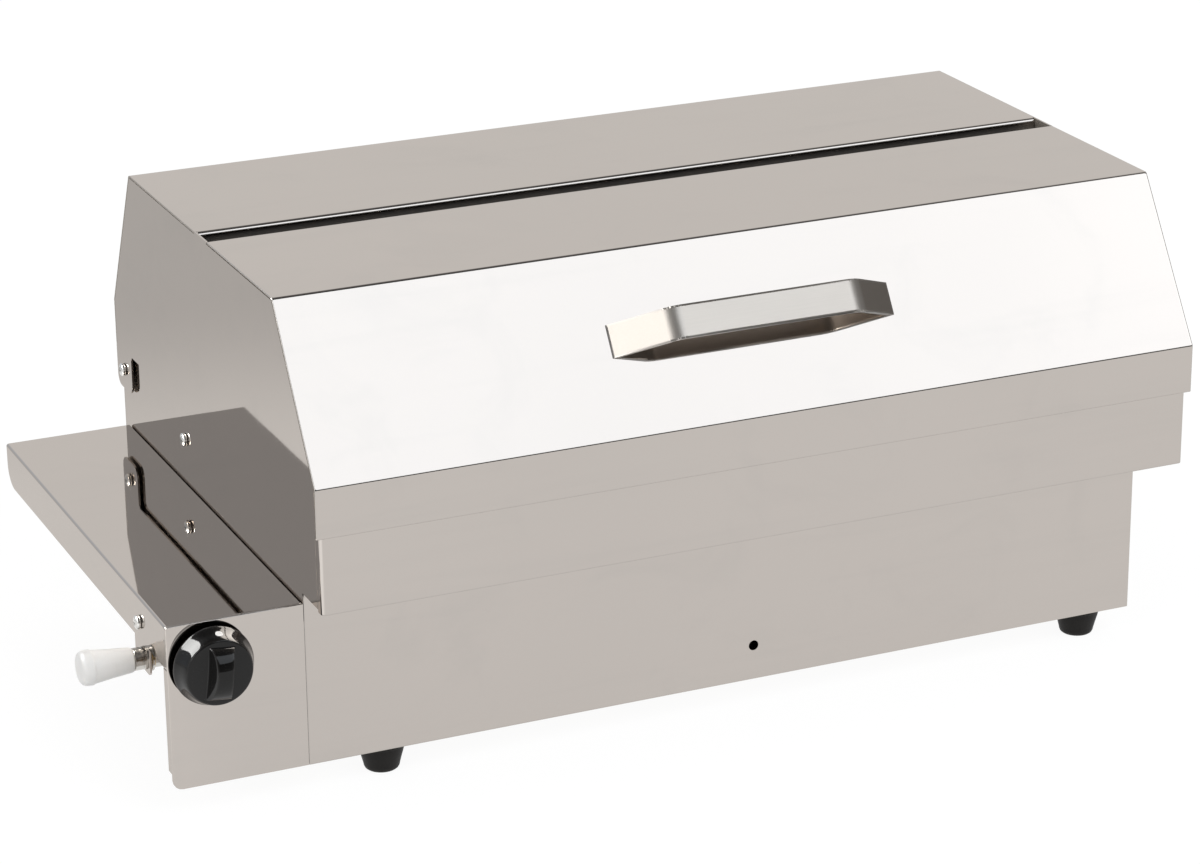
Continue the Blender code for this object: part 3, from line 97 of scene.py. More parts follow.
AXES = {
    "+X": Matrix(((0, 0, 1), (1, 0, 0), (0, 1, 0))),
    "-X": Matrix(((0, 0, -1), (-1, 0, 0), (0, 1, 0))),
    "-Y": Matrix(((1, 0, 0), (0, 0, -1), (0, 1, 0))),
    "+Z": Matrix(((1, 0, 0), (0, 1, 0), (0, 0, 1))),
}


# ---------------------------------------------------------------- shader sums


class Value:
    """A socket of a finish that can be used in sums."""

    def __init__(self, finish, socket):
        self.finish = finish
        self.socket = socket

    def maths(self, operation, first, second):
        return self.finish.add("ShaderNodeMath", {"operation": operation}, {0: first, 1: second})

    def __add__(self, other):
        return self.maths("ADD", self, other)

    def __radd__(self, other):
        return self.maths("ADD", other, self)

    def __sub__(self, other):
        return self.maths("SUBTRACT", self, other)

    def __rsub__(self, other):
        return self.maths("SUBTRACT", other, self)

    def __mul__(self, other):
        return self.maths("MULTIPLY", self, other)

    def __rmul__(self, other):
        return self.maths("MULTIPLY", other, self)

    def __pow__(self, other):
        return self.maths("POWER", self, other)

    def most(self, other):
        return self.maths("MAXIMUM", self, other)

    def least(self, other):
        return self.maths("MINIMUM", self, other)


class Finish:
    """A material or world whose nodes are added one by one."""

    def __init__(self, owner):
        owner.use_nodes = True
        self.owner = owner
        self.tree = owner.node_tree
        self.tree.nodes.clear()

    def add(self, kind, settings=None, sockets=None, output=0):
        """Add a node with its settings, then the values or links of its sockets."""
        node = self.tree.nodes.new(kind)
        for key, setting in (settings or {}).items():
            if key == "stops":
                ramp = node.color_ramp
                while len(ramp.elements) < len(setting):
                    ramp.elements.new(1)
                for element, (place, colour) in zip(ramp.elements, setting):
                    element.position = place
                    element.color = (*colour, 1)
            else:
                setattr(node, key, setting)
        for key, value in (sockets or {}).items():
            if isinstance(value, Value):
                self.tree.links.new(value.socket, node.inputs[key])
            elif isinstance(value, tuple) and len(value) == 3 and node.inputs[key].type == "RGBA":
                node.inputs[key].default_value = (*value, 1)
            else:
                node.inputs[key].default_value = value
        return Value(self, node.outputs[output]) if node.outputs else None

    def place(self):
        return self.add("ShaderNodeTexCoord", output=3)

    def along(self, axis):
        """Object coordinate along one axis: 0 is X, 1 is Y, 2 is Z."""
        return self.add("ShaderNodeSeparateXYZ", {}, {0: self.place()}, output=axis)

    def noise(self, vector, scale, detail, roughness, distortion):
        sockets = {"Vector": vector, "Scale": scale, "Detail": detail}
        sockets.update({"Roughness": roughness, "Distortion": distortion})
        return self.add("ShaderNodeTexNoise", {}, sockets)

    def cloud(self, scale, detail=3.0, roughness=0.5, distortion=0.0):
        """Noise that is alike along every axis."""
        return self.noise(self.place(), scale, detail, roughness, distortion)

    def grain(self, stretch, detail=3.0, roughness=0.5, distortion=0.0):
        """Noise drawn out by its own scale along each axis."""
        vector = self.add("ShaderNodeMapping", {}, {0: self.place(), 3: stretch})
        return self.noise(vector, 1.0, detail, roughness, distortion)

    def ranged(self, value, low, high, new_low=0.0, new_high=1.0):
        sockets = {0: value, 1: low, 2: high, 3: new_low, 4: new_high}
        return self.add("ShaderNodeMapRange", {"interpolation_type": "SMOOTHSTEP"}, sockets)

    def blend(self, factor, first, second):
        sockets = {0: factor, 6: first, 7: second}
        return self.add("ShaderNodeMix", {"data_type": "RGBA"}, sockets, output=2)

    def wear_and_shade_mark(self):
        """1 at a piece's cut edges and folds and in screw recesses, 0 inside, from the mark drawn
        into its mesh: real rubbing of edges, and on polished sheet also painted shade along seams
        and gaps.
        """
        return self.add("ShaderNodeAttribute", {"attribute_name": "wear"}, output=2)

    def smoked(self):
        """1 on linings and hidden flanges that smoke has browned, 0 elsewhere."""
        return self.add("ShaderNodeAttribute", {"attribute_name": "smoke"}, output=2)

    def bump(self, height, distance, normal=None):
        sockets = {"Strength": 1.0, "Distance": distance, "Height": height}
        if normal is not None:
            sockets["Normal"] = normal
        return self.add("ShaderNodeBump", {}, sockets)

    def surface(self, **sockets):
        """The finish's one shader; names use _ for a space."""
        named = {key.replace("_", " "): value for key, value in sockets.items()}
        shader = self.add("ShaderNodeBsdfPrincipled", {}, named)
        self.add("ShaderNodeOutputMaterial", {}, {0: shader})
        return self.owner

    def metal(self, colour, roughness, relief):
        return self.surface(Base_Color=colour, Metallic=1.0, Roughness=roughness, Normal=relief)

    def moulded(self, colour, roughness, relief, **more):
        return self.surface(
            Base_Color=colour, Metallic=0.0, Roughness=roughness, Normal=relief, **more
        )


def new_finish(name):
    return Finish(bpy.data.materials.new(name))


def polished_steel():
    """Mirror-polished sheet: faint waves, long polish streaks, smudges, and darker cut edges, partly
    duller sheared steel and partly painted shade of the seams and gaps.
    """
    f = new_finish("polished_sheet_steel")
    waves = f.cloud(7.0, 1.0)
    hairline = f.grain((14, 260, 900), 4.0, 0.65)
    cross = f.grain((700, 40, 18), 3.0, 0.6)
    streak = f.ranged(f.grain((3.5, 30, 55), 4.0, 0.6, 0.3), 0.48, 0.78)
    smudge = f.ranged(f.cloud(13.0, 5.0, 0.6, 0.8), 0.50, 0.74)
    speck = f.ranged(f.cloud(900.0, 2.0), 0.66, 0.74)
    tone = f.cloud(5.0, 2.0)
    colour = f.blend(tone, (0.502, 0.464, 0.432), (0.530, 0.487, 0.452))
    colour = f.blend(smudge * 0.13 + streak * 0.10, colour, (0.40, 0.385, 0.365))
    # Cut edges and folds go darker: partly the sheared edges' own duller colour, partly painted
    # shade standing in for the shadow in seams and gaps between sheets.
    edge = f.wear_and_shade_mark() ** 2.0
    cut_edge_wear_and_shade = f.ranged(f.wear_and_shade_mark(), 0.80, 0.98)
    colour = f.blend(edge * 0.30, colour, (0.36, 0.34, 0.32))
    colour = f.blend(cut_edge_wear_and_shade * 0.45, colour, (0.30, 0.285, 0.27))
    smoke = f.smoked()
    film = smoke * f.ranged(f.cloud(19.0, 5.0, 0.6, 0.5), 0.25, 0.75, 0.55, 0.95)
    colour = f.blend(film, colour, (0.235, 0.205, 0.165))
    roughness = 0.018 + hairline * 0.016 + cross * 0.010 + smudge * 0.022 + speck * 0.05
    roughness = roughness + streak * 0.012 + edge * 0.05 + cut_edge_wear_and_shade * 0.16 + smoke * 0.30
    relief = f.bump(waves, 0.00020)
    relief = f.bump(hairline * 0.7 + cross * 0.3, 0.0000012, relief)
    return f.surface(
        Base_Color=colour,
        Metallic=1 - smoke * 0.6,
        Roughness=roughness,
        Normal=relief,
        Specular_Tint=(0.84, 0.82, 0.80),
    )


def satin_steel():
    """Brushed flat bar and trays: a grain along X and rubbed edges."""
    f = new_finish("satin_brushed_steel")
    grain = f.grain((20, 1500, 1500), 5.0, 0.7)
    broad = f.grain((6, 60, 60), 3.0)
    tone = f.cloud(30.0, 4.0, 0.6)
    colour = f.blend(grain, (0.43, 0.395, 0.355), (0.54, 0.495, 0.450))
    colour = f.blend(tone * 0.25, colour, (0.38, 0.35, 0.32))
    colour = f.blend(f.wear_and_shade_mark() * 0.3, colour, (0.60, 0.59, 0.57))
    roughness = 0.25 + grain * 0.10 + broad * 0.06
    return f.metal(colour, roughness, f.bump(grain, 0.00002))


def inner_steel():
    """Plain folded steel inside the box, with mill grain and faint rolling marks."""
    f = new_finish("mill_finish_steel")
    grain = f.grain((25, 900, 900), 4.0, 0.7)
    cloud = f.cloud(22.0, 5.0, 0.6)
    colour = f.blend(cloud, (0.36, 0.35, 0.335), (0.50, 0.485, 0.465))
    roughness = 0.26 + grain * 0.10 + cloud * 0.14
    return f.metal(colour, roughness, f.bump(grain, 0.00003))


def heat_steel():
    """Heat plate over the flame: straw and blue tints near the burner's two legs."""
    f = new_finish("heat_tinted_steel")
    grain = f.grain((25, 900, 900), 4.0, 0.7)
    cloud = f.cloud(18.0, 5.0, 0.6, 0.5)
    axes = f.along(1)
    leg = ((axes + 0.0903) ** 2.0).least((axes - 0.0997) ** 2.0) ** 0.5
    heat = f.ranged(leg + (cloud - 0.5) * 0.05, 0.075, 0.0)
    stops = [
        (0.0, (0.44, 0.425, 0.40)),
        (0.35, (0.47, 0.40, 0.29)),
        (0.62, (0.36, 0.25, 0.20)),
        (0.82, (0.22, 0.22, 0.30)),
        (1.0, (0.30, 0.34, 0.39)),
    ]
    colour = f.add("ShaderNodeValToRGB", {"stops": stops}, {0: heat})
    colour = f.blend(cloud * 0.5, colour, (0.40, 0.37, 0.33))
    roughness = 0.28 + grain * 0.10 + cloud * 0.16
    return f.metal(colour, roughness, f.bump(grain, 0.00003))


def rod_steel():
    """Plated round bar of the grate: drawn along its length, slightly browned by use."""
    f = new_finish("plated_round_bar")
    drawn = f.grain((900, 30, 900), 3.0, 0.6)
    stain = f.ranged(f.cloud(26.0, 5.0, 0.65, 0.6), 0.48, 0.75)
    colour = f.blend(stain * 0.45, (0.60, 0.585, 0.56), (0.36, 0.30, 0.235))
    roughness = 0.16 + drawn * 0.08 + stain * 0.18
    return f.metal(colour, roughness, f.bump(drawn, 0.00003))


def burner_steel():
    """Burner tube: dull coated steel, browned and blued along its top."""
    f = new_finish("burner_tube_steel")
    cloud = f.cloud(35.0, 5.0, 0.65, 0.6)
    height = f.along(2)
    upper = f.ranged(height + (cloud - 0.5) * 0.012, 0.090, 0.105)
    colour = f.blend(cloud, (0.37, 0.36, 0.34), (0.47, 0.45, 0.42))
    colour = f.blend(upper * 0.8, colour, (0.24, 0.19, 0.16))
    roughness = 0.34 + cloud * 0.2
    return f.metal(colour, roughness, f.bump(cloud, 0.0002))


def fastener_steel():
    """Bright zinc-plated screws and nuts with fine turning marks and a darker colour in the cross
    recess.
    """
    f = new_finish("bright_zinc_fastener")
    turning = f.cloud(1800.0, 2.0)
    cloud = f.cloud(240.0, 3.0)
    colour = f.blend(cloud, (0.60, 0.59, 0.57), (0.74, 0.73, 0.71))
    # Darker inside the cross recess, where the mesh's mark is 1.
    colour = f.blend(f.wear_and_shade_mark() * 0.75, colour, (0.10, 0.095, 0.09))
    roughness = 0.10 + turning * 0.06 + cloud * 0.08 + f.wear_and_shade_mark() * 0.3
    return f.metal(colour, roughness, f.bump(turning, 0.00002))


def brass():
    """Cast and turned brass of the tap and jet."""
    f = new_finish("turned_brass")
    cast = f.cloud(700.0, 3.0)
    cloud = f.cloud(45.0, 4.0, 0.6)
    colour = f.blend(cloud, (0.62, 0.43, 0.17), (0.76, 0.56, 0.27))
    colour = f.blend(f.ranged(cloud, 0.55, 0.8) * 0.4, colour, (0.36, 0.25, 0.13))
    roughness = 0.24 + cast * 0.12 + cloud * 0.1
    return f.metal(colour, roughness, f.bump(cast, 0.00008))


def plated_fitting():
    """Nickel-plated inlet fitting with fine lathe rings."""
    f = new_finish("nickel_plated_fitting")
    rings = f.grain((5200, 60, 60), 2.0)
    cloud = f.cloud(120.0, 3.0)
    colour = f.blend(cloud, (0.50, 0.485, 0.455), (0.62, 0.60, 0.57))
    roughness = 0.12 + rings * 0.10 + cloud * 0.05
    return f.metal(colour, roughness, f.bump(rings, 0.00003))


def knob_plastic():
    """Glossy black moulded knob with faint flow marks, dust and rubbed edges."""
    f = new_finish("glossy_black_knob")
    flow = f.cloud(60.0, 3.0, 0.6, 0.4)
    dust = f.ranged(f.cloud(1600.0, 2.0), 0.64, 0.76)
    rub = f.ranged(f.cloud(110.0, 4.0, 0.6), 0.5, 0.75)
    colour = f.blend(flow, (0.0035, 0.0034, 0.0033), (0.0080, 0.0072, 0.0068))
    colour = f.blend(dust * 0.20, colour, (0.045, 0.043, 0.040))
    colour = f.blend(f.wear_and_shade_mark() * 0.4, colour, (0.030, 0.028, 0.026))
    roughness = 0.06 + rub * 0.05 + dust * 0.2 + f.wear_and_shade_mark() * 0.10
    return f.moulded(colour, roughness, f.bump(flow, 0.00004), IOR=1.36)


def index_paint():
    """White paint in the knob's index mark, slightly pitted."""
    f = new_finish("index_mark_paint")
    pits = f.cloud(2400.0, 3.0)
    colour = f.blend(pits, (0.78, 0.77, 0.74), (0.88, 0.87, 0.85))
    return f.moulded(colour, 0.42 + pits * 0.1, f.bump(pits, 0.00004))


def foot_rubber():
    """Moulded black rubber foot with a dusty bloom and a scuffed lower edge."""
    f = new_finish("black_foot_rubber")
    grit = f.cloud(1400.0, 3.0)
    bloom = f.cloud(90.0, 4.0, 0.6)
    height = f.along(2)
    scuff = f.ranged(height + (bloom - 0.5) * 0.004, 0.003, 0.0)
    colour = f.blend(bloom, (0.0065, 0.0058, 0.0052), (0.0160, 0.0142, 0.0126))
    colour = f.blend(scuff * 0.5, colour, (0.040, 0.037, 0.033))
    roughness = 0.40 + bloom * 0.2 + grit * 0.1
    return f.moulded(colour, roughness, f.bump(grit, 0.00008), IOR=1.28)


def cap_plastic():
    """Off-white moulded cap and spacers: fine matt texture and handling marks."""
    f = new_finish("off_white_cap_plastic")
    matt = f.cloud(1500.0, 3.0)
    marks = f.ranged(f.cloud(130.0, 4.0, 0.6, 0.7), 0.5, 0.8)
    colour = f.blend(matt, (0.80, 0.785, 0.765), (0.86, 0.85, 0.83))
    colour = f.blend(marks * 0.18, colour, (0.62, 0.58, 0.53))
    glow = {"Weight": 0.08, "Radius": (0.004, 0.0035, 0.003), "Scale": 0.4}
    glow = {"Subsurface_" + key: value for key, value in glow.items()}
    return f.moulded(colour, 0.36 + matt * 0.12, f.bump(matt, 0.00003), **glow)


POLISHED = polished_steel()
SATIN = satin_steel()
MILL = inner_steel()
HEATED = heat_steel()
ROD = rod_steel()
BURNER = burner_steel()
ZINC = fastener_steel()
BRASS = brass()
NICKEL = plated_fitting()
KNOB_BLACK = knob_plastic()
INDEX_WHITE = index_paint()
RUBBER = foot_rubber()
CAP_WHITE = cap_plastic()


# ---------------------------------------------------------------- mesh tools


def linked(name, mesh):
    thing = bpy.data.objects.new(name, mesh)
    bpy.context.scene.collection.objects.link(thing)
    return thing


def from_builder(name, builder):
    bmesh.ops.remove_doubles(builder, verts=builder.verts, dist=MERGE)
    mesh = bpy.data.meshes.new(name)
    builder.to_mesh(mesh)
    builder.free()
    return linked(name, mesh)


@contextmanager
def reworked(mesh):
    """A mesh opened for changes and written back."""
    builder = bmesh.new()
    builder.from_mesh(mesh)
    yield builder
    builder.to_mesh(mesh)
    builder.free()


def smoothed(thing, angle):
    """Smooth shading with sharp edges kept above an angle in degrees."""
    thing.data.shade_smooth()
    thing.data.set_sharp_from_angle(angle=math.radians(angle))


def settled(thing):
    """The piece with its modifiers worked into a plain mesh."""
    bpy.context.view_layer.update()
    graph = bpy.context.evaluated_depsgraph_get()
    mesh = bpy.data.meshes.new_from_object(thing.evaluated_get(graph), depsgraph=graph)
    name = thing.name
    bpy.data.objects.remove(thing)
    return linked(name, mesh)


def eased(thing, width, angle=50, segments=2):
    """Round a piece's sharp edges and keep its flat faces flat in reflections."""
    thing.data.shade_smooth()
    bevel = thing.modifiers.new("eased_edges", "BEVEL")
    bevel.limit_method = "ANGLE"
    bevel.angle_limit = math.radians(angle)
    bevel.width = width
    bevel.segments = segments
    normals = thing.modifiers.new("flat_faces", "WEIGHTED_NORMAL")
    normals.keep_sharp = True
    return settled(thing)


def cut(thing, *cutters):
    """Cut shapes out of a piece."""
    for cutter in cutters:
        change = thing.modifiers.new("cut", "BOOLEAN")
        change.operation = "DIFFERENCE"
        change.solver = "EXACT"
        change.object = cutter
    done = settled(thing)
    for cutter in cutters:
        bpy.data.objects.remove(cutter)
    return done


def seated(thing, finish, body, slot, *nodes):
    """Put a finished piece on the frame, in its finish, on its body, for its solids."""
    thing.data.transform(Matrix.Translation(DATUM))
    thing.data.materials.clear()
    thing.data.materials.append(finish)
    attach(thing, body)
    if nodes:
        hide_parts(*nodes)
    return thing


def bends(points, radius, closed=False, steps=BEND_STEPS):
    """Corners rounded into arcs, as (x, y, wear); wear marks the folds."""
    flat = [Vector(p) for p in points]
    count = len(flat)
    drawn = []
    for index, corner in enumerate(flat):
        if not closed and index in (0, count - 1):
            drawn.append((corner.x, corner.y, 0.0))
            continue
        before = (flat[index - 1] - corner).normalized()
        after = (flat[(index + 1) % count] - corner).normalized()
        half = before.angle(after) / 2
        middle = corner + (before + after).normalized() * (radius / math.sin(half))
        first = corner + before * (radius / math.tan(half)) - middle
        sweep = math.pi - 2 * half
        turn = 1 if before.x * after.y - before.y * after.x < 0 else -1
        for step in range(steps + 1):
            spin = Matrix.Rotation(turn * sweep * step / steps, 2)
            place = middle + spin @ first
            drawn.append((place.x, place.y, FOLD_WEAR * math.sin(math.pi * step / steps)))
    return drawn


def rimmed(profile):
    """A profile with fully marked ends, for duller sheared edges and painted seam shade, and a plain
    line just inside each end.
    """
    first = Vector(profile[0][:2])
    second = Vector(profile[1][:2])
    last = Vector(profile[-1][:2])
    before = Vector(profile[-2][:2])
    near = first + (second - first).normalized() * RIM
    far = last + (before - last).normalized() * RIM
    return (
        [(first.x, first.y, 1.0), (near.x, near.y, 0.0)]
        + list(profile[1:-1])
        + [(far.x, far.y, 0.0), (last.x, last.y, 1.0)]
    )


def folded(
    name, profile, low, high, along,
    thickness=SHEET, side=-1, skip=None, more=(), lining=0.0, stain=None,
):
    """A folded sheet drawn out along an axis.

    skip leaves out faces of its grid, lining browns its inner side, and stain says where the
    outer side is browned too.
    """
    spread = {
        "X": lambda a, b, t: (t, a, b),
        "Y": lambda a, b, t: (a, t, b),
        "Z": lambda a, b, t: (a, b, t),
    }[along]
    stations = sorted({low, low + RIM, *more, high - RIM, high})
    outline = rimmed(profile)
    builder = bmesh.new()
    wear = builder.verts.layers.float.new("wear")
    smoke = builder.verts.layers.float.new("smoke")
    rows = []
    for station in stations:
        row = []
        for a, b, mark in outline:
            corner = builder.verts.new(spread(a, b, station))
            # The cut ends get the full mark: duller sheared edges plus painted shade of the seams.
            corner[wear] = 1.0 if station in (low, high) else mark
            corner[smoke] = stain(a, b) if stain else 0.0
            row.append(corner)
        rows.append(row)
    for line, (near, far) in enumerate(zip(rows, rows[1:])):
        ends = stations[line], stations[line + 1]
        for index in range(len(outline) - 1):
            if skip and skip(*ends, outline[index], outline[index + 1]):
                continue
            builder.faces.new((near[index], near[index + 1], far[index + 1], far[index]))
    loose = [corner for corner in builder.verts if not corner.link_faces]
    bmesh.ops.delete(builder, geom=loose, context="VERTS")
    mesh = bpy.data.meshes.new(name)
    builder.to_mesh(mesh)
    builder.free()
    thing = linked(name, mesh)
    wall = thing.modifiers.new("wall", "SOLIDIFY")
    wall.thickness = thickness
    wall.offset = side
    wall.use_even_offset = True
    drawn = len(thing.data.vertices)
    thing = settled(thing)
    with reworked(thing.data) as builder:
        builder.verts.ensure_lookup_table()
        smoke = builder.verts.layers.float["smoke"]
        inner = builder.verts[:drawn] if side > 0 else builder.verts[drawn:]
        for corner in inner:
            corner[smoke] = max(corner[smoke], lining)
        bmesh.ops.recalc_face_normals(builder, faces=builder.faces)
    return thing


def sheet(thing, body, node):
    """A folded piece of polished sheet, its edges eased, in its place."""
    seated(eased(thing, SHEET_EDGE), POLISHED, body, "polished_steel", node)


def circle(centre, radius, sides=32):
    turn = 2 * math.pi / sides
    return [
        (centre[0] + radius * math.cos(turn * k), centre[1] + radius * math.sin(turn * k))
        for k in range(sides)
    ]


def plate(name, loops, middle, thickness, facing):
    """A flat plate from an outline and its holes."""
    curve = bpy.data.curves.new(name, "CURVE")
    curve.dimensions = "2D"
    curve.fill_mode = "BOTH"
    curve.extrude = thickness / 2
    for loop in loops:
        spline = curve.splines.new("POLY")
        spline.points.add(len(loop) - 1)
        for point, place in zip(spline.points, loop):
            point.co = (place[0], place[1], 0, 1)
        spline.use_cyclic_u = True
    thing = settled(linked(name, curve))
    thing.data.transform(Matrix.Translation(middle) @ AXES[facing].to_4x4())
    with reworked(thing.data) as builder:
        bmesh.ops.remove_doubles(builder, verts=builder.verts, dist=MERGE)
        bmesh.ops.recalc_face_normals(builder, faces=builder.faces)
    return thing


def block(name, low, high):
    builder = bmesh.new()
    low = Vector(low)
    high = Vector(high)
    size = Matrix.Diagonal((*(high - low), 1))
    bmesh.ops.create_cube(builder, size=1, matrix=Matrix.Translation((low + high) / 2) @ size)
    return from_builder(name, builder)


def turned(name, profile, place, facing, sides=64):
    """A turned piece: (radius, height) or (radius, height, wear) from the top down."""
    builder = bmesh.new()
    wear = builder.verts.layers.float.new("wear")
    rings = []
    for entry in profile:
        radius, height = entry[:2]
        mark = entry[2] if len(entry) > 2 else 0.0
        around = [(0, 0)] if radius <= 0 else circle((0, 0), radius, sides)
        ring = [builder.verts.new((x, y, height)) for x, y in around]
        for corner in ring:
            corner[wear] = mark
        rings.append(ring)
    for upper, lower in zip(rings, rings[1:]):
        for k in range(sides):
            n = (k + 1) % sides
            if len(upper) == 1:
                builder.faces.new((upper[0], lower[k], lower[n]))
            elif len(lower) == 1:
                builder.faces.new((upper[k], lower[0], upper[n]))
            else:
                builder.faces.new((upper[k], lower[k], lower[n], upper[n]))
    bmesh.ops.recalc_face_normals(builder, faces=builder.faces)
    thing = from_builder(name, builder)
    thing.data.transform(Matrix.Translation(place) @ AXES[facing].to_4x4())
    return thing


def arc(centre, radius, start, end, steps=6, wear=0.0):
    """Points of an arc in a turned profile, by angle from the axis, in degrees."""
    return [
        (
            centre[0] + radius * math.sin(math.radians(start + (end - start) * k / steps)),
            centre[1] + radius * math.cos(math.radians(start + (end - start) * k / steps)),
            wear,
        )
        for k in range(steps + 1)
    ]


def dressed(
    node, name, finish, body, slot, edge=CUT_EDGE, angle=50, plane=None, smoke=None, rounded=None
):
    """A solid of the frame with eased edges, in its place, in its finish.

    plane is the way a plate faces, so that its cut edges can be marked, smoke is the way of a
    side that smoke has browned, and rounded picks the ends of edges with a larger radius.
    """
    builder = bmesh.new()
    builder.from_mesh(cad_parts[node].data)
    bmesh.ops.remove_doubles(builder, verts=builder.verts, dist=MERGE)
    flat = math.radians(0.4)
    bmesh.ops.dissolve_limit(builder, angle_limit=flat, verts=builder.verts, edges=builder.edges)
    for corner in builder.verts:
        corner.co -= DATUM
    if rounded:
        picked = [line for line in builder.edges if all(rounded(end.co) for end in line.verts)]
        settings = {"segments": 7, "profile": 0.5, "affect": "EDGES", "clamp_overlap": True}
        bmesh.ops.bevel(builder, geom=picked, offset=ROUNDED, **settings)
    builder.verts.index_update()
    corners = [tuple(corner.co) for corner in builder.verts]
    faces = [[corner.index for corner in face.verts] for face in builder.faces]
    builder.free()
    mesh = bpy.data.meshes.new(name)
    mesh.from_pydata(corners, [], faces)
    thing = eased(linked(name, mesh), edge, angle)
    # Cut-edge faces are marked, which darkens them in polished sheet: the sheared edge's own colour
    # plus painted seam shade.
    if plane is not None:
        wear = thing.data.attributes.new("wear", "FLOAT", "FACE")
        for face in thing.data.polygons:
            wear.data[face.index].value = 0.6 if abs(face.normal.dot(plane)) < 0.30 else 0.0
    if smoke is not None:
        film = thing.data.attributes.new("smoke", "FLOAT", "FACE")
        for face in thing.data.polygons:
            film.data[face.index].value = 1.0 if face.normal.dot(smoke) > 0.8 else 0.0
    return seated(thing, finish, body, slot, node)


# ---------------------------------------------------------------- hood


def make_hood():
    """The hood's two folded sheets, with the vent slot between them."""
    front = bends([(0, SKIRT_LOW), (0, BEND_LEVEL), (SLANT_RUN, TOP), (0.1752, TOP)], HOOD_BEND)
    wrap = folded("hood_front_sheet", front, -HALF, HALF, "X", side=1, lining=1.0)
    sheet(wrap, "hood", "hood_front_wrap")

    rear_profile = bends(
        [(0.1952, 0.2807), (0.1952, TOP), (0.326, TOP), (DEPTH, BEND_LEVEL), (DEPTH, SKIRT_LOW)],
        HOOD_BEND,
    )
    notch = HALF - SHEET - GAP

    def in_notch(first, second, one, two):
        return abs(first + second) / 2 > notch and (one[0] + two[0]) / 2 < 0.1981

    def on_flange(y, z):
        return 0.8 if y < 0.1953 and z < TOP - 0.0030 else 0.0

    more = {"skip": in_notch, "more": (-notch, notch), "lining": 1.0, "stain": on_flange}
    wrap = folded("hood_rear_sheet", rear_profile, -HALF, HALF, "X", side=1, **more)
    sheet(wrap, "hood", "hood_rear_wrap")
    for side, inward in (("left", 1), ("right", -1)):
        node = f"hood_side_{side}"
        name = f"hood_side_sheet_{side}"
        way = Vector((inward, 0, 0))
        dressed(node, name, POLISHED, "hood", "polished_steel", plane=way, smoke=way)


def make_handle():
    """The bent flat bar on the hood's slant, its edges rounded over."""
    corners = [(-0.0915, GAP), (-0.059, 0.0255), (0.059, 0.0255), (0.0915, GAP)]
    profile = bends(corners, 0.018, steps=24)
    bar = folded("hood_handle", profile, -0.01, 0.01, "Z", 0.003, 1)
    trim = block("handle_trim", (-0.2, -0.02, -0.02), (0.2, GAP, 0.02))
    bar = eased(cut(bar, trim), 0.0007, 40, 3)
    normal = Vector((0, -math.sin(SLANT), math.cos(SLANT)))
    down = Vector((0, -math.cos(SLANT), -math.sin(SLANT)))
    seat = Vector((0, 0, BEND_LEVEL)) - down * 0.058
    turn = Matrix((Vector((1, 0, 0)), normal, down)).transposed().to_4x4()
    bar.data.transform(Matrix.Translation(seat) @ turn)
    seated(bar, SATIN, "hood", "brushed_steel", "handle")


# ---------------------------------------------------------------- body


def make_body():
    """The band, the stepped-back box front and the plain walls."""
    plan = bends(
        [
            (-WALL_OUT, BAND_FRONT + 0.0068), (-WALL_OUT, BAND_FRONT), (WALL_OUT, BAND_FRONT),
            (WALL_OUT, BAND_FRONT + 0.0068),
        ],
        HOOD_BEND,
    )
    band = folded("front_band_sheet", plan, BAND_LOW, BAND_HIGH, "Z", side=-1)
    sheet(band, "cabinet", "front_band")

    under = BAND_LOW + GAP
    right = WALL_IN - 0.0013
    lip = BAND_FRONT + SHEET + GAP
    profile = bends([(BOX_FRONT, BOX_LOW), (BOX_FRONT, under), (lip, under)], SHEET)
    front = folded("lower_front_sheet", profile, -WALL_OUT, right, "X", side=1)
    cutters = [
        block("ledge_relief", (-0.29, BAND_FRONT, BAND_LOW), (-right, BOX_FRONT - SHEET, 0.13)),
        block("side_relief", (0.267, 0.02, 0.01), (0.29, 0.04, under - GAP)),
        plate("front_hole", [circle(FRONT_HOLE_AT, 0.0032)], Vector((0, BOX_FRONT, 0)), 0.008, "-Y"),
    ]
    sheet(cut(front, *cutters), "cabinet", "lower_front_panel")
    inward = {
        "side_wall_left": (1, 0, 0),
        "side_wall_right": (-1, 0, 0),
        "lower_right_panel": (-1, 0, 0),
        "rear_panel": (0, -1, 0),
        "base_plate": (0, 0, 1),
    }
    for node, way in inward.items():
        way = Vector(way)
        dressed(node, node + "_sheet", POLISHED, "cabinet", "polished_steel", plane=way, smoke=way)


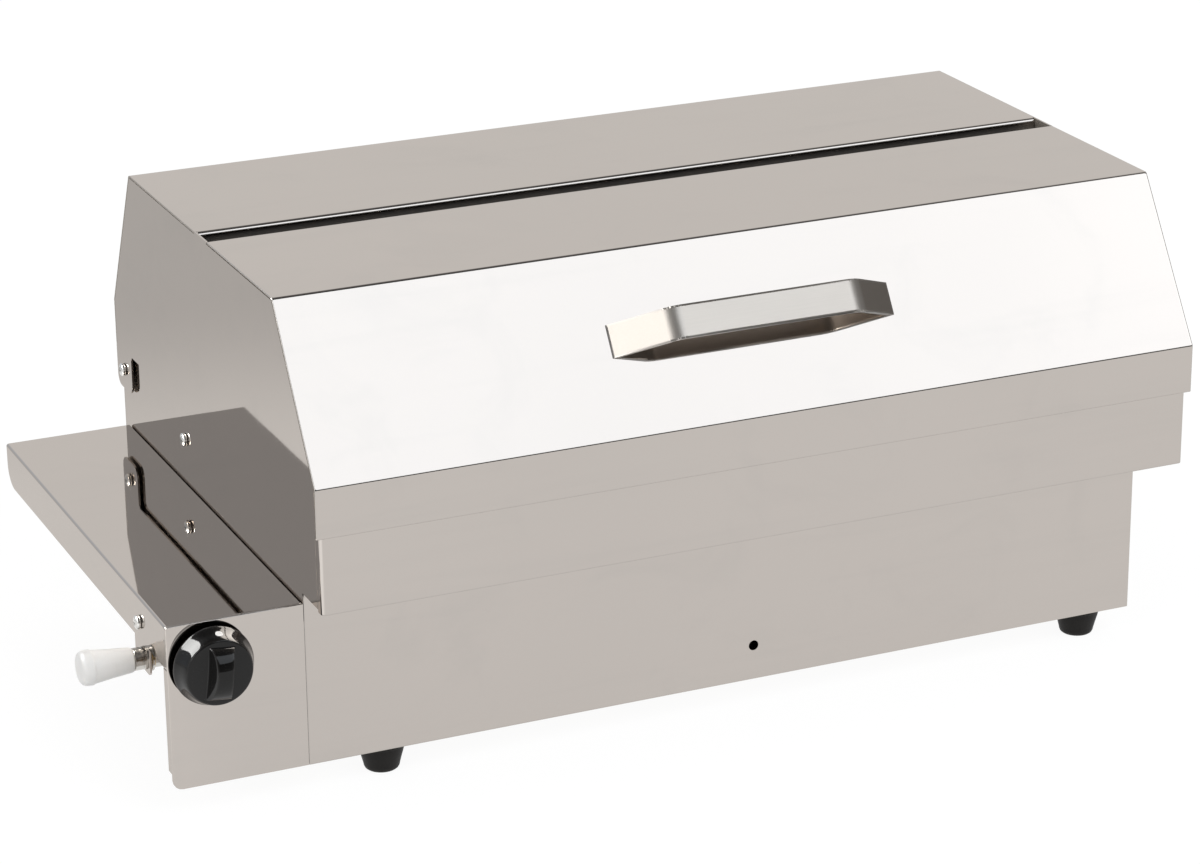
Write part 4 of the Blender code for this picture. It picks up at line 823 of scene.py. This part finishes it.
def make_shelf():
    """The side shelf, the control panel under it and the inlet's bracket."""
    profile = bends(
        [
            (-SHELF_IN, SHELF_TOP - 0.012), (-SHELF_IN, SHELF_TOP), (-SHELF_OUT, SHELF_TOP),
            (-SHELF_OUT, SHELF_TOP - FLANGE_DROP),
        ],
        SHELF_BEND,
    )
    front = BOX_FRONT + SHEET + GAP
    shelf = folded("side_shelf_sheet", profile, front, SHELF_REAR, "Y", side=1)
    low = SHELF_TOP - FLANGE_DROP
    size = FLANGE_ROUND
    corner = [(SHELF_REAR + 0.004, low - 0.004), (SHELF_REAR + 0.004, low + size)]
    for step in range(17):
        angle = math.pi / 2 * step / 16
        y = SHELF_REAR - size + size * math.cos(angle)
        corner.append((y, low + size - size * math.sin(angle)))
    corner.append((SHELF_REAR - size, low - 0.004))
    hole = circle(BRACKET_SCREW_AT, 0.0023)
    cutters = [
        plate("shelf_corner", [corner], Vector((-SHELF_OUT + SHEET, 0, 0)), 0.003, "+X"),
        plate("screw_hole", [hole], Vector((-SHELF_OUT, 0, 0)), 0.006, "+X"),
    ]
    sheet(cut(shelf, *cutters), "cabinet", "side_shelf")

    def outer_bend(corner):
        ahead = corner.y < BOX_FRONT + 0.0002
        return ahead and (corner.z > SHELF_TOP - SHELF_BEND or corner.x < -SHELF_OUT + 0.0002)

    steel = (POLISHED, "cabinet", "polished_steel")
    dressed("control_panel", "control_panel_sheet", *steel, rounded=outer_bend)
    dressed("inlet_bracket", "inlet_bracket_sheet", *steel)


# ---------------------------------------------------------------- knob, inlet and feet


def grip_bar(builder, wear):
    """The thick grip bar: a barrel crest between two straight flanks with a filleted foot."""
    half = 0.0158
    foot = 0.0080
    rise = 0.0091
    lines = 26
    flank = (0.0, 0.03, 0.07, 0.12, 0.18, 0.32, 0.48, 0.64, 0.76, 0.84, 0.91, 0.96, 1.0)

    def fall(share):
        """Share of the rise lost across a flank, slow at its crest and foot."""
        top, low = 0.14, 0.26
        whole = 1 - (top + low) / 2
        if share < top:
            return share * share / (2 * top) / whole
        if share > 1 - low:
            left = 1 - share
            return 1 - left * left / (2 * low) / whole
        return (share - top / 2) / whole

    rows = []
    for k in range(-lines, lines + 1):
        along = math.sin(math.pi / 2 * k / lines)
        high = rise * math.sqrt(max(0.0, 1 - along * along))
        lean = 0.30 * high + 0.0008
        crest = foot - lean
        outline = []
        for t in reversed(flank):
            outline.append((-(crest + lean * t), 1 - fall(t)))
        outline += [(crest * (j / 4 - 1), 1.0) for j in range(1, 8)]
        for t in flank:
            outline.append((crest + lean * t, 1 - fall(t)))
        row = []
        for across, share in outline:
            z = half * along
            round_over = 1 - 0.07 * (across / foot) ** 2
            height = face_height(across, z) - 0.00003 + high * share * round_over
            corner = builder.verts.new((across, z, height))
            corner[wear] = 0.7 if share > 0.93 and abs(across) > crest - 0.0002 else 0.0
            row.append(corner)
        rows.append(row)
    for near, far in zip(rows, rows[1:]):
        for j in range(len(near) - 1):
            builder.faces.new((near[j], far[j], far[j + 1], near[j + 1]))


def face_height(x, z):
    """Height of the knob's domed face over its base plane."""
    return 0.0138 - 0.0015 * (x * x + z * z) / 0.0195 ** 2


def make_knob():
    """The flared knob: skirt, domed face and barrel-topped grip bar, with its index mark."""
    profile = [(0, face_height(0, 0))]
    profile += [(0.0188 * k / 8, face_height(0.0188 * k / 8, 0)) for k in range(1, 9)]
    profile += [
        (0.0192, 0.01232, 0.1), (0.0195, 0.01215, 0.4), (0.0198, 0.0118, 0.6),
        (0.0201, 0.0113, 0.3), (0.0205, 0.0103), (0.0210, 0.0088), (0.0215, 0.0070),
        (0.0221, 0.0052), (0.0228, 0.0035), (0.0234, 0.0022, 0.2), (0.0239, 0.0014, 0.6),
        (0.0240, 0.0007, 0.5), (0.0238, 0.0, 0.2), (0.0165, 0.0), (0.0165, 0.0072),
        (0.0033, 0.0072), (0.0033, 0.0122), (0.0, 0.0122),
    ]
    knob = turned("control_knob_moulding", profile, Vector((0, 0, 0)), "+Z", 128)
    with reworked(knob.data) as builder:
        grip_bar(builder, builder.verts.layers.float["wear"])
        bmesh.ops.recalc_face_normals(builder, faces=builder.faces)
    turn = Matrix.Rotation(math.radians(KNOB_LEAN), 4, "Y")
    knob.data.transform(Matrix.Translation(KNOB_AT) @ turn @ AXES["-Y"].to_4x4())
    smoothed(knob, 55)
    seated(knob, KNOB_BLACK, "control_knob", "knob_black", "knob")

    rise = Vector((0, -math.sin(math.radians(20)), math.cos(math.radians(20))))
    lie = rise.to_track_quat("Z", "X").to_matrix().to_4x4()
    disc = [
        (0, 0.00004), (0.0004, 0.00006), (0.0006, 0.0002), (0.0019, 0.00022), (0.00225, 0.0001),
        (0.0023, -0.0006), (0, -0.0006),
    ]
    mark = turned("index_mark", disc, Vector((0, 0, 0)), "+Z", 40)
    mark.data.shade_smooth()
    spot = Matrix.Translation(Vector((0, -0.0068, 0.02155)))
    mark.data.transform(Matrix.Translation(KNOB_AT) @ turn @ spot @ lie)
    seated(mark, INDEX_WHITE, "control_knob", "cap_white")


def make_inlet():
    """The plated inlet fitting with its wire ring, and the white cap pushed onto it."""
    end = 0.0064 + 0.0327
    profile = [(0, end), (0.0020, end - 0.0001), (0.0040, end - 0.0004), (0.0055, end - 0.0009)]
    profile += arc((0.0066, end - 0.0048), 0.0038, 15, 84, 8, 0.2)
    profile += [
        (0.0105, end - 0.0062), (0.0105, end - 0.0080), (0.0103, end - 0.0085, 0.5),
        (0.0100, end - 0.0088, 0.5), (0.0099, end - 0.0094), (0.0086, end - 0.0195),
        (0.0074, 0.0078), (0.0072, 0.0068), (0.0069, 0.0064), (0.0053, 0.0064),
        (0.0053, 0.0204), (0, 0.0204),
    ]
    cap = turned("inlet_cap_moulding", profile, INLET_AT, "-X", 72)
    smoothed(cap, 50)
    seated(cap, CAP_WHITE, "inlet_dust_cap", "cap_white", "inlet_cap")

    profile = [
        (0, 0.0181), (0.0046, 0.0181), (0.0050, 0.0177), (0.0050, 0.0062), (0.0063, 0.0061),
        (0.0067, 0.0057), (0.0067, 0.0014), (0.0064, 0.0012), (0.0064, 0.0008),
        (0.0067, 0.0006), (0.0067, -0.0028), (0.0063, -0.0030), (0.0063, -0.0034),
        (0.0079, -0.0036), (0.0083, -0.0040), (0.0083, -0.0050), (0.0079, -0.0054),
        (0.0067, -0.0056), (0.0067, -0.0140), (0.0063, -0.0148), (0.0063, -0.0157),
        (0, -0.0157),
    ]
    body = turned("inlet_fitting_body", profile, INLET_AT, "-X", 64)
    smoothed(body, 35)
    seated(body, NICKEL, "cabinet", "brass", "inlet_fitting")


def make_tap():
    """Tap, jet, spindle and lock nut behind and on the control panel."""
    dressed("tap_body", "gas_tap_body", BRASS, "cabinet", "brass", 0.0006)
    dressed("injector", "gas_jet", BRASS, "cabinet", "brass", 0.0003)
    dressed("tap_lock_nut", "tap_nut", ZINC, "cabinet", "fastener_steel", 0.0003)
    dressed("tap_spindle", "tap_stem_rod", ZINC, "tap_stem", "fastener_steel", 0.0003)


# ---------------------------------------------------------------- repeated pieces


def group_input(tree, name, kind, value=None):
    socket = tree.interface.new_socket(name, in_out="INPUT", socket_type=kind)
    if value is not None:
        socket.default_value = value
    return socket.identifier


def spread_tree(finish):
    """A tree that sets one shape at each point, turned to the point's facing."""
    tree = bpy.data.node_groups.new("set_at_places", "GeometryNodeTree")
    group_input(tree, "Places", "NodeSocketGeometry")
    shape_input = group_input(tree, "Shape", "NodeSocketObject")
    size_input = group_input(tree, "Size", "NodeSocketFloat", 1.0)
    tree.interface.new_socket("Pieces", in_out="OUTPUT", socket_type="NodeSocketGeometry")
    add = tree.nodes.new
    join = tree.links.new
    start = add("NodeGroupInput")
    end = add("NodeGroupOutput")
    shape = add("GeometryNodeObjectInfo")
    facing = add("GeometryNodeInputNamedAttribute")
    facing.data_type = "FLOAT_VECTOR"
    facing.inputs["Name"].default_value = "facing"
    turn = add("FunctionNodeAlignRotationToVector")
    turn.axis = "Z"
    place = add("GeometryNodeInstanceOnPoints")
    real = add("GeometryNodeRealizeInstances")
    coat = add("GeometryNodeSetMaterial")
    coat.inputs["Material"].default_value = finish
    join(start.outputs["Shape"], shape.inputs["Object"])
    join(start.outputs["Places"], place.inputs["Points"])
    join(shape.outputs["Geometry"], place.inputs["Instance"])
    join(facing.outputs["Attribute"], turn.inputs["Vector"])
    join(turn.outputs["Rotation"], place.inputs["Rotation"])
    join(start.outputs["Size"], place.inputs["Scale"])
    join(place.outputs["Instances"], real.inputs["Geometry"])
    join(real.outputs["Geometry"], coat.inputs["Geometry"])
    join(coat.outputs["Geometry"], end.inputs[0])
    return tree, shape_input, size_input


def spread(name, shape, places, finish, body, slot, *nodes):
    """One shape at several places of one body, as one piece."""
    mesh = bpy.data.meshes.new(name)
    mesh.from_pydata([tuple(place) for place, _ in places], [], [])
    facing = mesh.attributes.new("facing", "FLOAT_VECTOR", "POINT")
    for index, (_, way) in enumerate(places):
        facing.data[index].vector = way
    thing = linked(name, mesh)
    tree, shape_input, size_input = spread_tree(finish)
    repeat = thing.modifiers.new("set_at_places", "NODES")
    repeat.node_group = tree
    repeat[shape_input] = shape
    repeat[size_input] = 1.0
    thing = settled(thing)
    bpy.data.objects.remove(shape)
    return seated(thing, finish, body, slot, *nodes)


def screw_shape(shank):
    """A pan-head screw with a cross recess and a threaded shank, head at the origin."""
    profile = [(0, SCREW_RISE)]
    for k in range(1, 9):
        angle = math.pi / 2 * k / 8
        lift = (SCREW_RISE - 0.0009) * math.cos(angle) ** 0.8 if k < 8 else 0
        profile.append((SCREW_HEAD * math.sin(angle), 0.0009 + lift))
    profile += [(SCREW_HEAD, 0.0002), (0.0041, 0.0), (0.0020, 0.0)]
    turns = int(shank / 0.0007)
    for k in range(turns):
        depth = -0.0007 * (k + 0.2)
        profile += [(0.0020, depth), (0.00165, depth - 0.00035)]
    profile += [(0.0016, -shank + 0.0003), (0.0012, -shank), (0, -shank)]
    screw = turned("screw_shape", profile, Vector((0, 0, 0)), "+Z", 28)
    builder = bmesh.new()
    for turn in (0, math.pi / 2):
        high = [(-0.0021, -0.00052), (0.0021, -0.00052), (0.0021, 0.00052), (-0.0021, 0.00052)]
        low = [(-0.0009, -0.00034), (0.0009, -0.00034), (0.0009, 0.00034), (-0.0009, 0.00034)]
        spin = Matrix.Rotation(turn, 3, "Z")
        top = [builder.verts.new(spin @ Vector((x, y, 0.0034))) for x, y in high]
        bottom = [builder.verts.new(spin @ Vector((x, y, 0.0008))) for x, y in low]
        builder.faces.new(top)
        builder.faces.new(bottom[::-1])
        for k in range(4):
            n = (k + 1) % 4
            builder.faces.new((top[k], bottom[k], bottom[n], top[n]))
        bmesh.ops.recalc_face_normals(builder, faces=builder.faces)
        cutter = from_builder("cross_recess", builder)
        screw = cut(screw, cutter)
        builder = bmesh.new()
    builder.free()
    wear = screw.data.attributes.get("wear") or screw.data.attributes.new("wear", "FLOAT", "POINT")
    # The cross recess is marked, to be darkened in the fastener colour.
    for index, corner in enumerate(screw.data.vertices):
        deep = math.hypot(corner.co.x, corner.co.y) < 0.0013 and 0 < corner.co.z < 0.0016
        wear.data[index].value = 1.0 if deep else 0.0
    smoothed(screw, 38)
    return screw


def nut_shape():
    """A hexagon nut with chamfered corners and a bore, its seat at the origin."""
    rise = 0.0032
    loops = [circle((0, 0), 0.0036 / math.cos(math.pi / 6), 6), circle((0, 0), 0.0023, 24)]
    nut = plate("nut_shape", loops, Vector((0, 0, rise / 2)), rise, "+Z")
    return eased(nut, 0.00035, 50, 2)


def foot_shape():
    """A tapered rubber foot with a rounded tread and a shallow ring near its top."""
    profile = [
        (0.0023, 0.0064), (0.0023, 0.0177), (0.0139, 0.0177), (0.0144, 0.0174),
        (0.0145, 0.0168), (0.01435, 0.0158), (0.01395, 0.0154), (0.01385, 0.0150),
        (0.0135, 0.0128), (0.0121, 0.0078), (0.0110, 0.0036), (0.0106, 0.0017),
        (0.0101, 0.0007), (0.0092, 0.0), (0.0062, 0.0), (0.0056, 0.0007), (0.0, 0.0007),
    ]
    foot = turned("foot_shape", [(0, 0.0064)] + profile, Vector((0, 0, 0)), "+Z", 56)
    smoothed(foot, 50)
    return foot


def make_fasteners():
    """Screws, nuts, spacers and feet."""
    left = Vector((-1, 0, 0))
    right = Vector((1, 0, 0))
    up = Vector((0, 0, 1))
    pivot = (0.358, 0.157)
    rail = (0.243, 0.148)
    feet = [(-0.232, 0.0499), (0.240, 0.0499), (-0.232, 0.351), (0.240, 0.351)]
    side_screws = [
        (Vector((-HALF - GAP, *pivot)), left),
        (Vector((HALF + GAP, *pivot)), right),
        (Vector((-WALL_OUT - GAP, *rail)), left),
        (Vector((WALL_OUT + GAP, *rail)), right),
        (Vector((-SHELF_OUT - GAP, *BRACKET_SCREW_AT)), left),
    ]
    at_sides = ("hinge_{}_left", "hinge_{}_right", "rail_{}_left", "rail_{}_right", "bracket_{}")
    zinc = (ZINC, "cabinet", "fastener_steel")
    screws = [name.format("screw") for name in at_sides]
    spread("pan_head_screws", screw_shape(SCREW_SHANK), side_screws, *zinc, *screws)
    foot_names = ("front_left", "front_right", "rear_left", "rear_right")
    heads = [(Vector((x, y, FOOT_SCREW_LEVEL)), up) for x, y in feet]
    screws = [f"foot_screw_{name}" for name in foot_names]
    spread("foot_screws", screw_shape(FOOT_SCREW_SHANK), heads, *zinc, *screws)
    nuts = [
        (Vector((-WALL_IN + GAP, *pivot)), right),
        (Vector((WALL_IN - GAP, *pivot)), left),
        (Vector((-WALL_IN + 2 * GAP + SHEET, *rail)), right),
        (Vector((WALL_IN - 2 * GAP - SHEET, *rail)), left),
        (Vector((-0.3620, *BRACKET_SCREW_AT)), right),
    ]
    spread("hex_nuts", nut_shape(), nuts, *zinc, *(name.format("nut") for name in at_sides))
    soles = [(Vector((x, y, 0)), up) for x, y in feet]
    names = [f"foot_{name}" for name in foot_names]
    spread("rubber_feet", foot_shape(), soles, RUBBER, "cabinet", "foot_rubber", *names)
    for side in ("left", "right"):
        name = f"hinge_washer_{side}"
        dressed(f"hinge_spacer_{side}", name, CAP_WHITE, "cabinet", "cap_white", 0.0001)


def grate_tree():
    """A round rod along the frame's outline and a row of thinner round bars across it."""
    tree = bpy.data.node_groups.new("grate_bars", "GeometryNodeTree")
    group_input(tree, "Frame", "NodeSocketGeometry")
    names = {
        "frame radius": 0.0035,
        "bar radius": 0.0024,
        "pitch": BAR_PITCH,
        "front": 0.0153,
        "rear": 0.3538,
        "level": 0.1660,
        "first": -0.264,
    }
    keys = {key: group_input(tree, key, "NodeSocketFloat", size) for key, size in names.items()}
    keys["count"] = group_input(tree, "count", "NodeSocketInt", BAR_COUNT)
    tree.interface.new_socket("Grate", in_out="OUTPUT", socket_type="NodeSocketGeometry")
    add = tree.nodes.new
    join = tree.links.new
    start = add("NodeGroupInput")
    end = add("NodeGroupOutput")

    def point(x, y, z):
        node = add("ShaderNodeCombineXYZ")
        for index, value in enumerate((x, y, z)):
            if isinstance(value, str):
                join(start.outputs[value], node.inputs[index])
            else:
                node.inputs[index].default_value = value
        return node.outputs[0]

    def rod(curve, radius, sides):
        section = add("GeometryNodeCurvePrimitiveCircle")
        section.inputs["Resolution"].default_value = sides
        join(start.outputs[radius], section.inputs["Radius"])
        solid = add("GeometryNodeCurveToMesh")
        solid.inputs["Fill Caps"].default_value = True
        join(curve, solid.inputs["Curve"])
        join(section.outputs["Curve"], solid.inputs["Profile Curve"])
        return solid.outputs["Mesh"]

    ring = add("GeometryNodeMeshToCurve")
    join(start.outputs["Frame"], ring.inputs["Mesh"])
    frame_rod = rod(ring.outputs["Curve"], "frame radius", 20)
    line = add("GeometryNodeCurvePrimitiveLine")
    join(point(0, "front", "level"), line.inputs["Start"])
    join(point(0, "rear", "level"), line.inputs["End"])
    bar = rod(line.outputs["Curve"], "bar radius", 14)
    row = add("GeometryNodeMeshLine")
    join(start.outputs["count"], row.inputs["Count"])
    join(point("first", 0, 0), row.inputs["Start Location"])
    join(point("pitch", 0, 0), row.inputs["Offset"])
    bars = add("GeometryNodeInstanceOnPoints")
    join(row.outputs["Mesh"], bars.inputs["Points"])
    join(bar, bars.inputs["Instance"])
    both = add("GeometryNodeJoinGeometry")
    join(frame_rod, both.inputs[0])
    join(bars.outputs["Instances"], both.inputs[0])
    real = add("GeometryNodeRealizeInstances")
    smooth = add("GeometryNodeSetShadeSmooth")
    coat = add("GeometryNodeSetMaterial")
    coat.inputs["Material"].default_value = ROD
    join(both.outputs[0], real.inputs["Geometry"])
    join(real.outputs["Geometry"], smooth.inputs["Geometry"])
    join(smooth.outputs["Geometry"], coat.inputs["Geometry"])
    join(coat.outputs["Geometry"], end.inputs[0])
    return tree, keys


def make_grate():
    """The cooking grate: a bent rod frame, a cross rod and a row of bars."""
    level = 0.1615
    side = 0.275
    front = 0.0203
    rear = 0.3488
    corners = bends([(-side, front), (side, front), (side, rear), (-side, rear)], 0.012, True, 8)
    mesh = bpy.data.meshes.new("cooking_grate_rods")
    count = len(corners)
    middle = (front + rear) / 2
    places = [(x, y, level) for x, y, _ in corners]
    ring = [(k, (k + 1) % count) for k in range(count)]
    mesh.from_pydata(places, ring, [])
    grate = linked("cooking_grate_rods", mesh)
    tree, keys = grate_tree()
    rods = grate.modifiers.new("grate_bars", "NODES")
    rods.node_group = tree
    rods[keys["count"]] = BAR_COUNT
    rods[keys["pitch"]] = BAR_PITCH
    grate = settled(grate)
    upper = [(0, side), (0.0021, side), (0.0024, side - 0.0003)]
    profile = upper + [(radius, -height) for radius, height in reversed(upper)]
    cross = turned("cross_rod", profile, Vector((0, middle, level)), "+X", 14)
    cross.data.shade_smooth()
    with reworked(grate.data) as builder:
        builder.from_mesh(cross.data)
    bpy.data.objects.remove(cross)
    grate.data.set_sharp_from_angle(angle=math.radians(50))
    seated(grate, ROD, "grate", "rod_steel", "cooking_grate")


def make_inside():
    """Heat plate, burner, rails, ledge, tray and guides."""
    dressed("heat_plate", "heat_plate_sheet", HEATED, "flame_plate", "inner_steel")
    dressed("burner", "burner_tube", BURNER, "cabinet", "rod_steel", 0.0002, 60)
    plain = ("rear_ledge", "burner_bracket", "grate_rail_left", "grate_rail_right")
    for node in plain + ("tray_guide_front", "tray_guide_rear"):
        dressed(node, node + "_sheet", MILL, "cabinet", "inner_steel")
    dressed("drip_tray", "drip_tray_pan", SATIN, "tray", "brushed_steel")


# ---------------------------------------------------------------- studio


def make_floor():
    """A wide pale floor that shows as white and keeps a soft shadow."""
    builder = bmesh.new()
    bmesh.ops.create_grid(builder, x_segments=2, y_segments=2, size=30)
    floor = from_builder("studio_floor", builder)
    f = new_finish("pale_floor_paper")
    fibre = f.cloud(400.0, 3.0)
    colour = f.blend(fibre, (0.80, 0.80, 0.80), (0.84, 0.84, 0.84))
    paper = f.add("ShaderNodeBsdfDiffuse", {}, {"Color": colour})
    white, dim, bright = (
        f.add("ShaderNodeEmission", {}, {"Color": (1, 1, 1), "Strength": strength})
        for strength in (FLOOR_WHITE, FLOOR_DIM, FLOOR_BRIGHT)
    )
    camera = f.add("ShaderNodeLightPath", output=0)
    glossy = f.add("ShaderNodeLightPath", output=3)
    through = f.add("ShaderNodeLightPath", output=6)
    across = f.along(0)
    back = f.along(1)
    far = f.ranged(back - across * 0.25, 0.44, 0.86)
    near = ((across + 0.62) ** 2.0 + (back + 0.36) ** 2.0) ** 0.5
    near = f.ranged(near, 0.42, 0.10)
    lit = f.add("ShaderNodeMixShader", {}, {0: glossy * far, 1: white, 2: dim})
    lit = f.add("ShaderNodeMixShader", {}, {0: glossy * near, 1: lit, 2: bright})
    seen = camera.most(glossy).most(through)
    shown = f.add("ShaderNodeMixShader", {}, {0: seen * FLOOR_SHARE, 1: paper, 2: lit})
    f.add("ShaderNodeOutputMaterial", {}, {0: shown})
    floor.data.materials.append(f.owner)


def make_world():
    """White to the camera; for polished metal a white sweep with dimmer room parts."""
    world = bpy.data.worlds.new("studio_room")
    bpy.context.scene.world = world
    w = Finish(world)
    way = w.add("ShaderNodeTexCoord", output=0)

    def towards(direction, low, high):
        aim = Vector(direction).normalized()
        sockets = {0: way, 1: tuple(aim)}
        dot = w.add("ShaderNodeVectorMath", {"operation": "DOT_PRODUCT"}, sockets, output=1)
        return w.ranged(dot, low, high)

    room = 1 - towards((-0.05, -0.72, 0.66), 0.62, 0.90) * 0.78
    overhead = 1 - towards((0.10, 0.02, 1.0), 0.72, 0.93) * 0.85
    ahead = 1 - towards((0.36, -0.92, 0.14), 0.80, 0.95) * 0.80
    right = 1 - towards((0.97, 0.0, 0.15), 0.62, 0.95) * 0.78
    glossy_left = towards((-0.62, 0.75, 0.2), 0.60, 0.97)
    left_rear = 1 - glossy_left * 0.29
    seen = room * overhead * ahead * right * left_rear
    tint = w.blend(glossy_left, (1.0, 1.0, 1.0), (0.98, 1.04, 1.12))
    camera = w.add("ShaderNodeLightPath", output=0)
    glossy = w.add("ShaderNodeLightPath", output=3)
    through = w.add("ShaderNodeLightPath", output=6)
    plain = camera.most(through)
    strength = plain + (1 - plain) * (glossy * seen + (1 - glossy) * 0.72)
    colour = w.blend(glossy, (1.0, 1.0, 1.0), tint)
    shade = w.add("ShaderNodeBackground", {}, {"Color": colour, "Strength": strength})
    w.add("ShaderNodeOutputWorld", {}, {0: shade})


def softbox(name, towards, aim, distance, width, height, radiance, colour, diffuse=True):
    """A rectangular lamp at a distance along a direction from a point, facing that point."""
    lamp = bpy.data.lights.new(name, "AREA")
    lamp.shape = "RECTANGLE"
    lamp.size = width
    lamp.size_y = height
    lamp.energy = radiance * width * height * math.pi
    lamp.color = colour
    holder = bpy.data.objects.new(name, lamp)
    way = Vector(towards).normalized()
    holder.location = Vector(aim) + way * distance
    holder.rotation_euler = way.to_track_quat("Z", "Y").to_euler()
    holder.visible_camera = False
    holder.visible_diffuse = diffuse
    bpy.context.scene.collection.objects.link(holder)


def make_lights():
    slant = Vector((0, 0.03, 0.245)) + DATUM
    softbox("key_softbox", (0.379, -0.672, 0.638), slant, 2.6, 2.1, 1.5, 1.90, (0.86, 0.92, 0.985))
    softbox("left_softbox", (-0.82, -0.38, 0.46), slant, 2.2, 1.0, 1.2, 1.7, (0.95, 0.98, 1.0))
    knob = KNOB_AT + DATUM
    colour = (1.0, 1.0, 0.98)
    softbox("small_softbox", (-0.64, 0.33, 0.67), knob, 1.2, 0.78, 0.60, 22.0, colour, False)


def make_camera():
    """The photograph's view."""
    camera = bpy.data.cameras.new("photo_camera")
    camera.lens = LENS
    camera.sensor_width = 36
    camera.clip_start = 0.05
    camera.clip_end = 60
    holder = bpy.data.objects.new("photo_camera", camera)
    right = Vector((0.91318, -0.40746, -0.00840))
    down = Vector((-0.14992, -0.31671, -0.93661))
    forward = Vector((0.37897, 0.85655, -0.35030))
    turn = Matrix((right, -down, -forward)).transposed().to_4x4()
    holder.matrix_world = Matrix.Translation(CAMERA_AT) @ turn
    bpy.context.scene.collection.objects.link(holder)
    bpy.context.scene.camera = holder


make_hood()
make_handle()
make_body()
make_shelf()
make_knob()
make_inlet()
make_tap()
make_fasteners()
make_grate()
make_inside()
make_floor()
make_world()
make_lights()
make_camera()

bpy.context.scene.view_settings.view_transform = "Standard"
